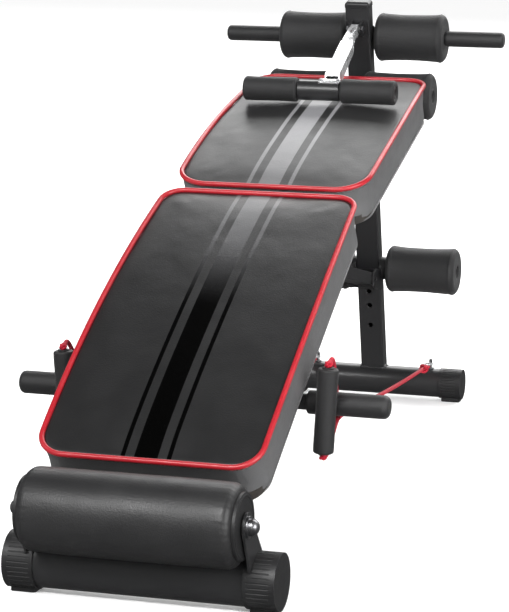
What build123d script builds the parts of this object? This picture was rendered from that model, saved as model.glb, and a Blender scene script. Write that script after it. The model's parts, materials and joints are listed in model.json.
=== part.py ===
from build123d import *
import math
import os

# A folding workout bench: an arched back pad and seat pad on a bent beam, a padded
# bolster at the low end, roller bars, an upright with a strut at the high end,
# pull handles on cords and a push-up bar.
#
# Millimetres.  X is the width, +Y runs from the low (bolster) end to the high
# end, +Z is up from the floor.  A station d is measured in +Y from the axis of
# the front crossbar, and points in side view are (d, z) pairs.  The origin is
# the middle of the footprint.

os.makedirs("parts", exist_ok=True)

CUT = Mode.SUBTRACT
FRONT_Y = -558.6  # Y of the front crossbar's axis
FIT = 0.02  # radial gap of a fixed fit
RUN = 0.05  # radial gap of a turning fit
WALL = 2.0  # wall of the frame tubes
BAR_WALL = 1.5  # wall of the thin round bars

# crossbars and their floor caps
FRONT_AXIS = (0, 40.0)
FRONT_TUBE_R, FRONT_CAP_R = 35.5, 38.2
FRONT_TUBE_HALF, FRONT_CAP_FROM, FRONT_HALF = 179, 143.0, 185.5
REAR_AXIS = REAR_D, REAR_Z = 1191.0, 29.4
REAR_TUBE_R, REAR_CAP_R = 24.3, 25.7
REAR_TUBE_HALF, REAR_CAP_FROM, REAR_HALF = 150, 118.0, 156.5

# pads
PAD_BULGE = 4.0  # bow of the long sides
BOARD_T, BOARD_INSET = 12.0, 7.0
PIPING_W, PIPING_TOP, PIPING_BOTTOM = 3.0, -1.0, -7.5
PAD_HALF = 170  # half width of the slabs before they are trimmed to plan

# flat bars that carry the pads on the beams, and their screws
CARRIER_T, CARRIER_HALF, CARRIER_HALF_W = 3, 105.0, 15
SCREW_X, SCREW_R, SCREW_HOLE_R, SCREW_LEN = 85.0, 3.0, 3.3, 12.0
SCREW_HEAD_R, SCREW_HEAD_H, SCREW_SOCKET_DEPTH = 6.0, 3.6, 2.2

# beams and the joint between them
BEAM_W, BEAM_H = 40.0, 40.0
BEAM_SIDE = BEAM_W / 2
JOINT = ((560.0, 396.6), (573.8, 359.0))  # top and bottom corners of the joint
SEAT_BEAM_END = ((1056.0, 519.9), (1062.1, 480.4))
JOINT_BOLTS = [(528.0, 365.5), (550.0, 373.8), (582.0, 384.2), (605.0, 392.2)]
JOINT_BOLT_R, JOINT_BOLT_HALF = 4.0, 28
JOINT_PLATE_OUT = BEAM_SIDE + 3

# push-up bar
PUSH_AXIS = (239.0, 219.0)
PUSH_R, PUSH_HALF, PUSH_GRIP_R, PUSH_GRIP_FROM = 11.0, 265.5, 16.2, 152.0
GRIP_END = 5  # a bar stops this far short of its grip's outer face

# bolster at the low end
BOLSTER_AXIS = (-43.0, 122.6)
BOLSTER_R, BOLSTER_HALF, BOLSTER_ROUND = 56.5, 144.0, 11
AXLE_R, AXLE_HALF = 6.0, 160
CORE_R, CORE_BORE_R = 22, 19
STRAP_X, STRAP_T = 150.6, 3.2  # inner face and thickness of the bolster straps

# roller bars
BAR_R = 9.5
ROLLER_R, ROLLER_WAIST = 40.0, 37.6
SEAT_ROLLER_AXIS = (1029.0, 541.5)
SEAT_ROLLER_R, SEAT_ROLLER_WAIST = 38.5, 36.4
FOOT_AXIS = (1157.5, 230.8)
T_BAR_AXIS = T_BAR_D, T_BAR_Z = 1106.0, 628.0
T_BAR_HALF, T_GRIP_FROM, T_GRIP_R = 235.0, 138.5, 12.8

# upright: a straight rectangular tube leaning towards the low end
UPRIGHT_W, UPRIGHT_T = 40.0, 25.0
UPRIGHT_FRONT = (1180.0, 55.0)  # a point on its front (low-end) face
UPRIGHT_LEAN = math.atan(0.199)
UPRIGHT_TOP_Z = 681.0
UPRIGHT_BELOW = -34.0  # lower end, along the tube from the point above
ADJUSTING_HOLES_Z, ADJUSTING_HOLE_R = (190.0, 165.0, 129.0), 4.2

# hinges of the upright and the strut
HINGE_AXIS = (1110.0, 470.0)
STRUT_AXIS = STRUT_D, STRUT_Z = 600.0, 347.0
HINGE_BOLT_R, HINGE_HEAD_R = 5.0, 8.5
LUG_IN, LUG_OUT = BEAM_SIDE, BEAM_SIDE + 4
HINGE_EAR_IN, HINGE_EAR_OUT = 20.1, 24.6

# strut and its locking pin
STRUT_W, STRUT_H, STRUT_LEN, STRUT_WALL = 38.0, 20.0, 556.0, 1.8
STRUT_SLOPE = 0.248
LOCK_D = 1106.0
LOCK_Z = STRUT_Z - (LOCK_D - STRUT_D) * STRUT_SLOPE
LOCK_AXIS = (LOCK_D, LOCK_Z)
LOCK_PIN_R, LOCK_HOLE_R = 4.0, 5.2

# knee arm
KNEE_AXIS = (834.0, 569.4)
KNEE_ROLLER_R = 19.5
SLEEVE_R, SLEEVE_HALF = 15.8, 34  # thick middle of the knee bar
SADDLE_R = SLEEVE_R + 2.6
PIVOT_AXIS = PIVOT_D, PIVOT_Z = 1047.0, 645.0
PIVOT_BOLT_R, PIVOT_BOLT_HALF = 4.0, 14
PIVOT_EAR_IN, PIVOT_EAR_OUT = 6.8, 9.8
ARM_FOOT_X = 18.0  # sideways offset of the arm's foot from the middle of the bar

# handles, cords, eyes and carabiners
HANDLE_X, HANDLE_D, HANDLE_Z = 185.5, 205.0, 217.0
HANDLE_LEN, HANDLE_R, HANDLE_ROUND = 117.0, 14.2, 3
HANDLE_LEAN = math.radians(3.2)
CORD_R = 3.2
KNOT_X, KNOT_D, KNOT_Z = 180.0, 292.0, 193.0  # where a handle's cord ends gather
EYE_X, EYE_R, EYE_WIRE_R = 100.0, 6.5, 1.7
EYE_SHANK_R, EYE_SHANK_DEPTH = 3.0, 12
EYE_Z = REAR_Z + REAR_TUBE_R + 9.6
LINK_STRAIGHT, LINK_END_R, LINK_WIRE_R = 20.0, 5.5, 1.4
LINK_TILT = math.radians(-8)
LINK_REACH = LINK_STRAIGHT / 2 + LINK_END_R
LINK_D = REAR_D - (EYE_R - EYE_WIRE_R - LINK_WIRE_R - 0.1) - LINK_REACH * math.cos(LINK_TILT)
LINK_Z = EYE_Z - LINK_REACH * math.sin(LINK_TILT)


# ================================================================ helpers
def save(builder, label):
    part = builder.part
    part.label = label
    export_step(part, "parts/" + label + ".step")


def at(x, d, z):
    return (x, FRONT_Y + d, z)


def side_plane(x):
    """Plane across X: local x is d, local y is z."""
    return Plane(origin=at(x, 0, 0), x_dir=(0, 1, 0), z_dir=(1, 0, 0))


def tilted_plane(x, point, angle=0.0):
    """Level plane through a (d, z) point, tilted up towards +Y by an angle."""
    normal = (0, -math.sin(angle), math.cos(angle))
    return Plane(origin=at(x, *point), x_dir=(1, 0, 0), z_dir=normal)


def end_planes(inner, outer):
    """X ranges of a piece on the +X side and its twin on the -X side."""
    return ((inner, outer), (-outer, -inner))


# The sketches in these helpers are handed to extrude or revolve explicitly,
# since a block inside a function doesn't join the caller's part.
def bar(radius, x0, x1, centre, mode=Mode.ADD):
    """Round bar along X."""
    plane = Plane(origin=at(x0, *centre), x_dir=(0, 1, 0), z_dir=(1, 0, 0))
    with BuildSketch(plane) as section:
        Circle(radius)
    extrude(section.sketch, amount=x1 - x0, dir=(1, 0, 0), mode=mode)


def bore(radius, reach, centre):
    """Hole along X, reaching equally far both ways."""
    bar(radius, -reach, reach, centre, CUT)


def tube(radius, wall, half, centre):
    bar(radius, -half, half, centre)
    bore(radius - wall, half, centre)


def hex_bar(radius, x0, x1, centre):
    plane = Plane(origin=at(x0, *centre), x_dir=(0, 1, 0), z_dir=(1, 0, 0))
    with BuildSketch(plane) as section:
        RegularPolygon(radius, 6)
    extrude(section.sketch, amount=x1 - x0, dir=(1, 0, 0))


def plate(outline, x0, x1, mode=Mode.ADD, lobes=()):
    """Flat plate across X: (d, z) outline points, plus (centre, radius) round lobes."""
    with BuildSketch(side_plane(x0)) as section:
        with BuildLine():
            Polyline(*outline, close=True)
        make_face()
        for centre, radius in lobes:
            with Locations(centre):
                Circle(radius)
    extrude(section.sketch, amount=x1 - x0, dir=(1, 0, 0), mode=mode)


def disc(plane, radius, amount, both=False, mode=Mode.ADD):
    """Round boss or hole along a plane's normal."""
    with BuildSketch(plane) as section:
        Circle(radius)
    extrude(section.sketch, amount=amount, both=both, mode=mode)


def turned(centre, *curves):
    """Solid turned about an X axis; each curve is (kind, *(x, radius) points)."""
    plane = Plane(origin=at(0, *centre), x_dir=(1, 0, 0), z_dir=(0, -1, 0))
    with BuildSketch(plane) as section:
        with BuildLine():
            for kind, *points in curves:
                kind(*points)
        make_face()
    revolve(section.sketch, axis=Axis(at(0, *centre), (1, 0, 0)))


def bar_grips(centre, bar_r, grip_r, x_from, x_end, rounding, arc_inset, bevel):
    """Two grips closed at their rounded outer ends."""
    hole_r, hole_end = bar_r + FIT, x_end - 4.8
    face, rim = (x_end, grip_r - rounding), (x_end - rounding, grip_r)
    turned(
        centre,
        (Polyline, (x_from, hole_r), (hole_end, hole_r), (hole_end, 0), (x_end, 0), face),
        (ThreePointArc, face, (x_end - arc_inset, grip_r - arc_inset), rim),
        (Polyline, rim, (x_from + bevel, grip_r), (x_from, grip_r - bevel), (x_from, hole_r)),
    )
    mirror(about=Plane.YZ)


def roller_pair(name, inner, outer, centre, radius, waist, rounding=9.0):
    """Soft sleeves that turn on a bar, slightly fuller at their ends."""
    hole_r = BAR_R + RUN
    diagonal = rounding * 0.7071
    shoulder = radius - rounding
    arc_r = shoulder + diagonal
    for side, (x0, x1) in zip(("right", "left"), end_planes(inner, outer)):
        a, b = x0 + rounding, x1 - rounding
        with BuildPart() as sleeve:
            turned(
                centre,
                (Polyline, (x0, hole_r), (x1, hole_r), (x1, shoulder)),
                (ThreePointArc, (x1, shoulder), (b + diagonal, arc_r), (b, radius)),
                (ThreePointArc, (b, radius), ((x0 + x1) / 2, waist), (a, radius)),
                (ThreePointArc, (a, radius), (a - diagonal, arc_r), (x0, shoulder)),
                (Line, (x0, shoulder), (x0, hole_r)),
            )
        save(sleeve, f"{name}_roller_{side}")


class ArchedPad:
    """A pad and its frame: s runs along the chord from its middle, offsets are
    square to the arched top.  Near is the low end, far the high end."""

    def __init__(self, near, far, sag, widths, roundings, foam, carriers):
        self.chord = math.dist(near, far)
        self.angle = math.atan2(far[1] - near[1], far[0] - near[0])
        self.middle = ((near[0] + far[0]) / 2, (near[1] + far[1]) / 2)
        self.sag = sag
        self.radius = self.chord ** 2 / (8 * sag) + sag / 2
        self.widths, self.roundings = widths, roundings
        self.foam = foam
        self.carriers = carriers  # s of the flat bars under the pad
        self.beam_top = -(foam + BOARD_T + CARRIER_T)
        cos, sin = math.cos(self.angle), math.sin(self.angle)
        self.along, self.normal = (cos, sin), (-sin, cos)
        origin = at(0, *self.middle)
        self.side = Plane(origin=origin, x_dir=(0, cos, sin), z_dir=(1, 0, 0))
        self.plan = tilted_plane(0, self.middle, self.angle)

    def arc_point(self, s, offset):
        turn, radius = math.asin(s / self.radius), self.radius + offset
        return (radius * math.sin(turn), radius * math.cos(turn) - (self.radius - self.sag))

    def world(self, s, offset):
        x, y = self.arc_point(s, offset)
        return tuple(m + x * u + y * n
                     for m, u, n in zip(self.middle, self.along, self.normal))

    def local(self, point):
        d, z = point[0] - self.middle[0], point[1] - self.middle[1]
        return (d * self.along[0] + z * self.along[1], d * self.normal[0] + z * self.normal[1])

    def screw_plane(self, s, x, offset):
        return tilted_plane(x, self.world(s, offset), self.angle - math.asin(s / self.radius))

    def screw_places(self):
        return [(s, x) for s in self.carriers for x in (-SCREW_X, SCREW_X)]

    def band(self, s0, s1, top, bottom, half, mode=Mode.ADD, near=(), far=()):
        """Arched slab between two offsets; near and far are (top, bottom)
        corners beyond its ends."""
        mid = (s0 + s1) / 2
        point = self.arc_point
        with BuildSketch(self.side) as section:
            with BuildLine():
                ThreePointArc(point(s0, top), point(mid, top), point(s1, top))
                if far:
                    corners = self.local(far[0]), self.local(far[1])
                    Polyline(point(s1, top), *corners, point(s1, bottom))
                else:
                    Line(point(s1, top), point(s1, bottom))
                ThreePointArc(point(s1, bottom), point(mid, bottom), point(s0, bottom))
                if near:
                    corners = self.local(near[1]), self.local(near[0])
                    Polyline(point(s0, bottom), *corners, point(s0, top))
                else:
                    Line(point(s0, bottom), point(s0, top))
            make_face()
        extrude(section.sketch, amount=half, both=True, mode=mode)

    def slab(self, top, bottom):
        """Band over the whole chord, to be trimmed to plan."""
        end = self.chord / 2 - 0.01
        self.band(-end, end, top, bottom, PAD_HALF)

    def trim(self, inset, mode):
        """Keep or cut the plan outline: rounded corners and bowed long sides."""
        end = self.chord / 2 - inset
        near, far = (width / 2 - inset for width in self.widths)
        waist = (near + far) / 2 + PAD_BULGE
        with BuildSketch(self.plan) as outline:
            with BuildLine():
                Line((-near, -end), (near, -end))
                ThreePointArc((near, -end), (waist, 0), (far, end))
                Line((far, end), (-far, end))
                ThreePointArc((-far, end), (-waist, 0), (-near, -end))
            make_face()
            near_r, far_r = (max(rounding - inset, 5) for rounding in self.roundings)
            fillet([v for v in outline.vertices() if v.Y < 0], near_r)
            fillet([v for v in outline.vertices() if v.Y > end - 1], far_r)
        extrude(outline.sketch, amount=140, both=True, mode=mode)


back = ArchedPad(near=(-4.5, 187.3), far=(522.6, 459.3), sag=17.0, widths=(310.0, 297.0),
                 roundings=(42.0, 34.0), foam=56.0, carriers=(-175.0, 175.0))
seat = ArchedPad(near=(544.5, 463.3), far=(981.0, 577.6), sag=11.0, widths=(295.0, 282.0),
                 roundings=(52.0, 38.0), foam=54.0, carriers=(-130.0, 130.0))

# ================================================================ front frame
with BuildPart() as front_crossbar:
    tube(FRONT_TUBE_R, WALL, FRONT_TUBE_HALF, FRONT_AXIS)
save(front_crossbar, "front_crossbar")


def strap_outline(growth):
    """Strap from the crossbar to the bolster's axle, optionally grown for a slot."""
    g = growth
    return [(-22 - g, 33 - g), (-62 - g, 118), (-31, 136 + g), (28 + g, 61), (16 + g, 33 - g)]


def floor_cap(cap_r, tube_r, x0, x1, centre, ribs, foot_w):
    """Cap over the +X end of a crossbar, grooved round and flat underneath."""
    socket_end = x1 - 6.5
    groove_r, groove_circle_r = 0.9, cap_r + 0.25
    d, z = centre
    bar(cap_r, x0, x1, centre)
    bar(tube_r + FIT, x0, socket_end, centre, CUT)
    for i in range(ribs):
        angle = 2 * math.pi * i / ribs
        # no grooves underneath
        if math.cos(angle + math.pi / 2) > 0.90:
            continue
        groove = (d + groove_circle_r * math.cos(angle), z + groove_circle_r * math.sin(angle))
        bar(groove_r, x0 + 5, x1 - 8, groove, CUT)
    # moulded foot, flat on the floor
    with BuildSketch(Plane.XY) as foot:
        with Locations(((x0 + x1) / 2, FRONT_Y + d)):
            RectangleRounded(x1 - x0 - 7, foot_w, 4)
    extrude(foot.sketch, amount=12)
    bar(tube_r + FIT, x0 - 1, socket_end, centre, CUT)


with BuildPart() as front_end_caps:
    floor_cap(FRONT_CAP_R, FRONT_TUBE_R, FRONT_CAP_FROM, FRONT_HALF, FRONT_AXIS,
              ribs=36, foot_w=34)
    # slot that lets the bolster strap through to the tube
    plate(strap_outline(0.25), STRAP_X - 0.2, STRAP_X + STRAP_T + 0.2, CUT)
    mirror(about=Plane.YZ)
save(front_end_caps, "front_end_caps")

LEG_OUTLINE = [(-14.9, 53.4), (14.9, 26.6), (96.0, 113.2), (66.2, 140.0)]
LEG_HOLLOW = [(-13.4, 52.1), (13.4, 27.9), (94.5, 114.5), (67.7, 138.7)]
with BuildPart() as front_leg:
    plate(LEG_OUTLINE, -20, 20)
    plate(LEG_HOLLOW, -18, 18, CUT)
    bore(FRONT_TUBE_R + FIT, 30, FRONT_AXIS)
    # upper end follows the underside of the beam
    back.band(-289, 100, -40, back.beam_top - BEAM_H, 30, CUT)
save(front_leg, "front_leg")


def narrowed(corners):
    """Move a (top, bottom) pair of corners a wall's thickness towards each other."""
    if not corners:
        return ()
    top, bottom = corners
    part = WALL / math.dist(top, bottom)
    d, z = (bottom[0] - top[0]) * part, (bottom[1] - top[1]) * part
    return ((top[0] + d, top[1] + z), (bottom[0] - d, bottom[1] - z))


def hollow_beam(pad, s0, s1, hollow_s0, bolts, near=(), far=()):
    top, bottom = pad.beam_top, pad.beam_top - BEAM_H
    pad.band(s0, s1, top, bottom, BEAM_SIDE, near=near, far=far)
    pad.band(hollow_s0, s1, top - WALL, bottom + WALL, BEAM_SIDE - WALL, CUT,
             near=narrowed(near), far=narrowed(far))
    for centre in bolts:
        bore(JOINT_BOLT_R + FIT, 40, centre)


with BuildPart() as main_beam:
    hollow_beam(back, -279, 285, -280, JOINT_BOLTS[:2], far=JOINT)
    bore(PUSH_R + FIT, 30, PUSH_AXIS)
save(main_beam, "main_beam")

with BuildPart() as seat_beam:
    hollow_beam(seat, -210, 220, -210, JOINT_BOLTS[2:], near=JOINT, far=SEAT_BEAM_END)
save(seat_beam, "seat_beam")

# fish plates either side of the beam joint
JOINT_PLATE_OUTLINE = [(513, 351.5), (620, 390.5), (615, 406.5), (508, 367.5)]
with BuildPart() as beam_joint_plates:
    for x0, x1 in end_planes(BEAM_SIDE, JOINT_PLATE_OUT):
        plate(JOINT_PLATE_OUTLINE, x0, x1)
        for centre in JOINT_BOLTS:
            bar(JOINT_BOLT_R + FIT, x0 - 1, x1 + 1, centre, CUT)
save(beam_joint_plates, "beam_joint_plates")

# flat bars across the beams
with BuildPart() as pad_brackets:
    for pad in (back, seat):
        for s in pad.carriers:
            pad.band(s - CARRIER_HALF_W, s + CARRIER_HALF_W, pad.beam_top + CARRIER_T,
                     pad.beam_top, CARRIER_HALF)
    for pad in (back, seat):
        for s, x in pad.screw_places():
            disc(pad.screw_plane(s, x, pad.beam_top), SCREW_HOLE_R, 10, both=True, mode=CUT)
save(pad_brackets, "pad_brackets")


def pad_screw(plane):
    """Screw driven upwards, its socket head under the plane."""
    disc(plane, SCREW_HEAD_R, -SCREW_HEAD_H)
    with BuildSketch(plane.offset(-SCREW_HEAD_H)) as socket:
        RegularPolygon(SCREW_HEAD_R * 0.62, 6)
    extrude(socket.sketch, amount=SCREW_SOCKET_DEPTH, mode=CUT)
    disc(plane, SCREW_R, SCREW_LEN)


with BuildPart() as frame_bolts:
    for pad in (back, seat):
        for s, x in pad.screw_places():
            pad_screw(pad.screw_plane(s, x, pad.beam_top - 0.15))
    for centre in JOINT_BOLTS:
        bar(JOINT_BOLT_R, -JOINT_BOLT_HALF, JOINT_BOLT_HALF, centre)
        for x0, x1 in end_planes(JOINT_PLATE_OUT, JOINT_BOLT_HALF):
            hex_bar(7.0, x0, x1, centre)
save(frame_bolts, "frame_bolts")

# ================================================================ pads
for name, pad in (("back", back), ("seat", seat)):
    with BuildPart() as cushion:
        pad.slab(0, -pad.foam)
        pad.trim(PIPING_W, Mode.INTERSECT)
    save(cushion, name + "_pad")

    with BuildPart() as board:
        board_bottom = -pad.foam - BOARD_T
        pad.slab(-pad.foam, board_bottom)
        pad.trim(BOARD_INSET, Mode.INTERSECT)
        # blind screw holes, stopping 2 mm short of the foam
        for s, x in pad.screw_places():
            plane = pad.screw_plane(s, x, board_bottom).offset(-3)
            disc(plane, SCREW_R + FIT, 3 + BOARD_T - 2, mode=CUT)
    save(board, name + "_board")

    with BuildPart() as piping:
        pad.slab(PIPING_TOP, PIPING_BOTTOM)
        pad.trim(0.0, Mode.INTERSECT)
        pad.trim(PIPING_W - FIT, CUT)
    save(piping, name + "_piping")

# ================================================================ push-up bar
with BuildPart() as push_up_bar:
    tube(PUSH_R, BAR_WALL, PUSH_HALF - GRIP_END, PUSH_AXIS)
save(push_up_bar, "push_up_bar")

with BuildPart() as push_up_grips:
    bar_grips(PUSH_AXIS, PUSH_R, PUSH_GRIP_R, PUSH_GRIP_FROM, PUSH_HALF,
              rounding=7, arc_inset=2.05, bevel=1.5)
save(push_up_grips, "push_up_grips")

# ================================================================ bolster
# strap plates on the crossbar, rising to the axle
with BuildPart() as bolster_brackets:
    for x0, x1 in end_planes(STRAP_X, STRAP_X + STRAP_T):
        plate(strap_outline(0), x0, x1, lobes=[(BOLSTER_AXIS, 19)])
        bar(FRONT_TUBE_R + FIT, x0 - 1, x1 + 1, FRONT_AXIS, CUT)
        bar(AXLE_R + FIT, x0 - 1, x1 + 1, BOLSTER_AXIS, CUT)
save(bolster_brackets, "bolster_brackets")

with BuildPart() as bolster_axle:
    bar(AXLE_R, -AXLE_HALF, AXLE_HALF, BOLSTER_AXIS)
save(bolster_axle, "bolster_axle")

# domed nuts over the axle ends
NUT_IN, NUT_FLANGE_X, NUT_FLANGE_R = STRAP_X + STRAP_T + 0.05, 156.2, 14.5
NUT_BODY_R, NUT_HOLE_R, NUT_HOLE_END = 11.3, AXLE_R + FIT, 160.2
NUT_TIP, NUT_DOME_MID, NUT_DOME_FOOT = (168.0, 0), (166.2, 7.0), (161.0, 10.3)
with BuildPart() as bolster_axle_nuts:
    turned(
        BOLSTER_AXIS,
        (Polyline, (NUT_IN, NUT_HOLE_R), (NUT_HOLE_END, NUT_HOLE_R), (NUT_HOLE_END, 0), NUT_TIP),
        (ThreePointArc, NUT_TIP, NUT_DOME_MID, NUT_DOME_FOOT),
        (Polyline, NUT_DOME_FOOT, (NUT_DOME_FOOT[0], NUT_BODY_R), (NUT_FLANGE_X, NUT_BODY_R),
         (NUT_FLANGE_X, NUT_FLANGE_R), (NUT_IN, NUT_FLANGE_R), (NUT_IN, NUT_HOLE_R)),
    )
    mirror(about=Plane.YZ)
save(bolster_axle_nuts, "bolster_axle_nuts")

# tube with end discs and hubs, turning on the axle
with BuildPart() as bolster_core:
    bar(CORE_R, -147.5, 147.5, BOLSTER_AXIS)
    for x0, x1 in end_planes(BOLSTER_HALF + 0.1, 148.4):
        bar(44, x0, x1, BOLSTER_AXIS)
    bar(14, -150.2, 150.2, BOLSTER_AXIS)
    bore(CORE_BORE_R, 142, BOLSTER_AXIS)
    bore(AXLE_R + RUN, 152, BOLSTER_AXIS)
save(bolster_core, "bolster_core")

with BuildPart() as bolster_cover:
    bar(BOLSTER_R, -BOLSTER_HALF, BOLSTER_HALF, BOLSTER_AXIS)
    fillet(bolster_cover.edges().filter_by(GeomType.CIRCLE), BOLSTER_ROUND)
    bore(CORE_R + FIT, BOLSTER_HALF, BOLSTER_AXIS)
save(bolster_cover, "bolster_cover")

# ================================================================ seat-end rollers
SEAT_BRACKET_OUTLINE = [(1002, 505.5), (1055, 514), (1043, 541), (1015, 541)]
# region under the top of the seat beam
SEAT_BRACKET_CUT = [(960, 480), (1100, 480), (1100, 527.0), SEAT_BEAM_END[0],
                    seat.world(220, seat.beam_top), (960, 504.3)]
with BuildPart() as seat_roller_bracket:
    plate(SEAT_BRACKET_OUTLINE, -20, 20, lobes=[(SEAT_ROLLER_AXIS, 15)])
    plate(SEAT_BRACKET_CUT, -30, 30, CUT)
    bore(BAR_R + FIT, 30, SEAT_ROLLER_AXIS)
save(seat_roller_bracket, "seat_roller_bracket")

with BuildPart() as seat_roller_bar:
    tube(BAR_R, BAR_WALL, 132, SEAT_ROLLER_AXIS)
save(seat_roller_bar, "seat_roller_bar")

roller_pair("seat", 22, 136, SEAT_ROLLER_AXIS, SEAT_ROLLER_R, SEAT_ROLLER_WAIST)

# ================================================================ hinges on the frame
LUG_OUTLINE = [(583, 346), (574, 372), (652, 399), (622, 346)]
LUG_CLEARANCE = [(504, 344.5), (624.5, 388.5), (618, 410.5), (504, 375.5)]
with BuildPart() as strut_lug:
    for x0, x1 in end_planes(LUG_IN, LUG_OUT):
        plate(LUG_OUTLINE, x0, x1, lobes=[(STRUT_AXIS, 16)])
        bar(HINGE_BOLT_R + FIT, x0 - 1, x1 + 1, STRUT_AXIS, CUT)
        # clear of the fish plates and their bolt heads
        plate(LUG_CLEARANCE, x0 - 1, x1 + 1, CUT)
        for centre in JOINT_BOLTS:
            bar(7.6, x0 - 1, x1 + 1, centre, CUT)
save(strut_lug, "strut_lug")

HINGE_EAR_OUTLINE = [(990, 467), (990, 496), (1030, 498), (1062, 509),
                     (1122, 488), (1120, 450), (1092, 451), (1062, 462)]
with BuildPart() as hinge_ears:
    for x0, x1 in end_planes(HINGE_EAR_IN, HINGE_EAR_OUT):
        plate(HINGE_EAR_OUTLINE, x0, x1, lobes=[(HINGE_AXIS, 21)])
        bar(HINGE_BOLT_R + FIT, x0 - 1, x1 + 1, HINGE_AXIS, CUT)
save(hinge_ears, "hinge_ears")

with BuildPart() as hinge_bolts:
    for centre, face_x in ((STRUT_AXIS, LUG_OUT), (HINGE_AXIS, HINGE_EAR_OUT)):
        bar(HINGE_BOLT_R, -face_x - 8, face_x + 6, centre)
        hex_bar(HINGE_HEAD_R, face_x + 0.05, face_x + 6, centre)
        hex_bar(HINGE_HEAD_R, -face_x - 7, -face_x - 0.05, centre)
save(hinge_bolts, "hinge_bolts")

# ================================================================ strut
STRUT_ANGLE = math.atan(STRUT_SLOPE)  # falls towards the high end


def strut_outline(start, end, half_height):
    """Side view of a length of the strut, measured along it from its hinge."""
    cos, sin = math.cos(STRUT_ANGLE), math.sin(STRUT_ANGLE)
    low, high = -half_height, half_height
    corners = ((start, low), (end, low), (end, high), (start, high))
    return [(STRUT_D + cos * s + sin * h, STRUT_Z - sin * s + cos * h) for s, h in corners]


with BuildPart() as strut_tube:
    half_w, half_h = STRUT_W / 2, STRUT_H / 2
    hollow_w = half_w - STRUT_WALL
    plate(strut_outline(0, STRUT_LEN, half_h), -half_w, half_w, lobes=[(STRUT_AXIS, half_h)])
    plate(strut_outline(12, STRUT_LEN + 1, half_h - STRUT_WALL), -hollow_w, hollow_w, CUT)
    bore(HINGE_BOLT_R + RUN, 30, STRUT_AXIS)
    bore(LOCK_HOLE_R, 30, LOCK_AXIS)
save(strut_tube, "strut_tube")

# ================================================================ upright
UPRIGHT_NORMAL = (math.cos(UPRIGHT_LEAN), math.sin(UPRIGHT_LEAN))  # from front to rear face
UPRIGHT_BASE = tuple(p + UPRIGHT_T / 2 * n for p, n in zip(UPRIGHT_FRONT, UPRIGHT_NORMAL))
UPRIGHT_END = (UPRIGHT_TOP_Z - UPRIGHT_BASE[1]) / math.cos(UPRIGHT_LEAN)


def upright_front_d(z):
    return UPRIGHT_FRONT[0] - (z - UPRIGHT_FRONT[1]) * math.tan(UPRIGHT_LEAN)


def front_point(z, off=FIT):
    """Point square off the upright's front face from height z."""
    return (upright_front_d(z) - off * UPRIGHT_NORMAL[0], z - off * UPRIGHT_NORMAL[1])


def upright_plane(along):
    """Plane across the upright, along its axis from UPRIGHT_BASE."""
    d = UPRIGHT_BASE[0] - math.sin(UPRIGHT_LEAN) * along
    z = UPRIGHT_BASE[1] + math.cos(UPRIGHT_LEAN) * along
    return tilted_plane(0, (d, z), UPRIGHT_LEAN)


with BuildPart() as upright_tube:
    with BuildSketch(upright_plane(UPRIGHT_BELOW)) as section:
        RectangleRounded(UPRIGHT_W, UPRIGHT_T, 2.5)
        RectangleRounded(UPRIGHT_W - 2 * WALL, UPRIGHT_T - 2 * WALL, 1.0, mode=CUT)
    extrude(section.sketch, amount=UPRIGHT_END - UPRIGHT_BELOW)
    bore(REAR_TUBE_R + FIT, 40, REAR_AXIS)
    bore(HINGE_BOLT_R + RUN, 40, HINGE_AXIS)
    bore(BAR_R + FIT, 40, FOOT_AXIS)
    # adjusting holes in the front face
    for z in ADJUSTING_HOLES_Z:
        plane = Plane(origin=at(0, upright_front_d(z), z), x_dir=(1, 0, 0),
                      z_dir=(0, -UPRIGHT_NORMAL[0], -UPRIGHT_NORMAL[1]))
        disc(plane, ADJUSTING_HOLE_R, 6, both=True, mode=CUT)
    # remove what the crossbar's bore leaves underneath
    bore(60, 40, (REAR_D, REAR_Z - 62))
save(upright_tube, "upright_tube")

# domed cap with a plug down the tube
PLUG_GAP = 0.1
with BuildPart() as upright_cap:
    with BuildSketch(upright_plane(UPRIGHT_END + FIT)) as section:
        RectangleRounded(UPRIGHT_W + 1.5, UPRIGHT_T + 1.5, 3.5)
    extrude(section.sketch, amount=9.5)
    fillet(upright_cap.faces().sort_by(Axis.Z)[-1].edges(), 5.5)
    with BuildSketch(upright_plane(UPRIGHT_END + FIT)) as section:
        RectangleRounded(UPRIGHT_W - 2 * WALL - PLUG_GAP, UPRIGHT_T - 2 * WALL - PLUG_GAP, 1.0)
    extrude(section.sketch, amount=-14)
save(upright_cap, "upright_cap")

with BuildPart() as rear_crossbar:
    tube(REAR_TUBE_R, WALL, REAR_TUBE_HALF, REAR_AXIS)
    for x in (-EYE_X, EYE_X):
        disc(tilted_plane(x, (REAR_D, REAR_Z + 15)), EYE_SHANK_R + FIT, 20, mode=CUT)
save(rear_crossbar, "rear_crossbar")

with BuildPart() as rear_end_caps:
    floor_cap(REAR_CAP_R, REAR_TUBE_R, REAR_CAP_FROM, REAR_HALF, REAR_AXIS, ribs=30, foot_w=24)
    mirror(about=Plane.YZ)
save(rear_end_caps, "rear_end_caps")


# T-bar behind the top of the upright
def upright_rear_d(z):
    return upright_front_d(z) + UPRIGHT_T / math.cos(UPRIGHT_LEAN) + FIT


with BuildPart() as t_bar_saddle:
    low, high = T_BAR_Z - 19, T_BAR_Z + 19
    plate([(upright_rear_d(low), low), (T_BAR_D + 6, low + 4),
           (T_BAR_D + 6, high - 4), (upright_rear_d(high), high)], -19, 19,
          lobes=[(T_BAR_AXIS, 13.5)])
    # nothing in front of the upright's rear face
    low, high = low - 30, high + 30
    plate([(upright_rear_d(low), low), (upright_rear_d(high), high), (1040, high), (1040, low)],
          -25, 25, CUT)
    bore(BAR_R + FIT, 30, T_BAR_AXIS)
save(t_bar_saddle, "t_bar_saddle")

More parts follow.
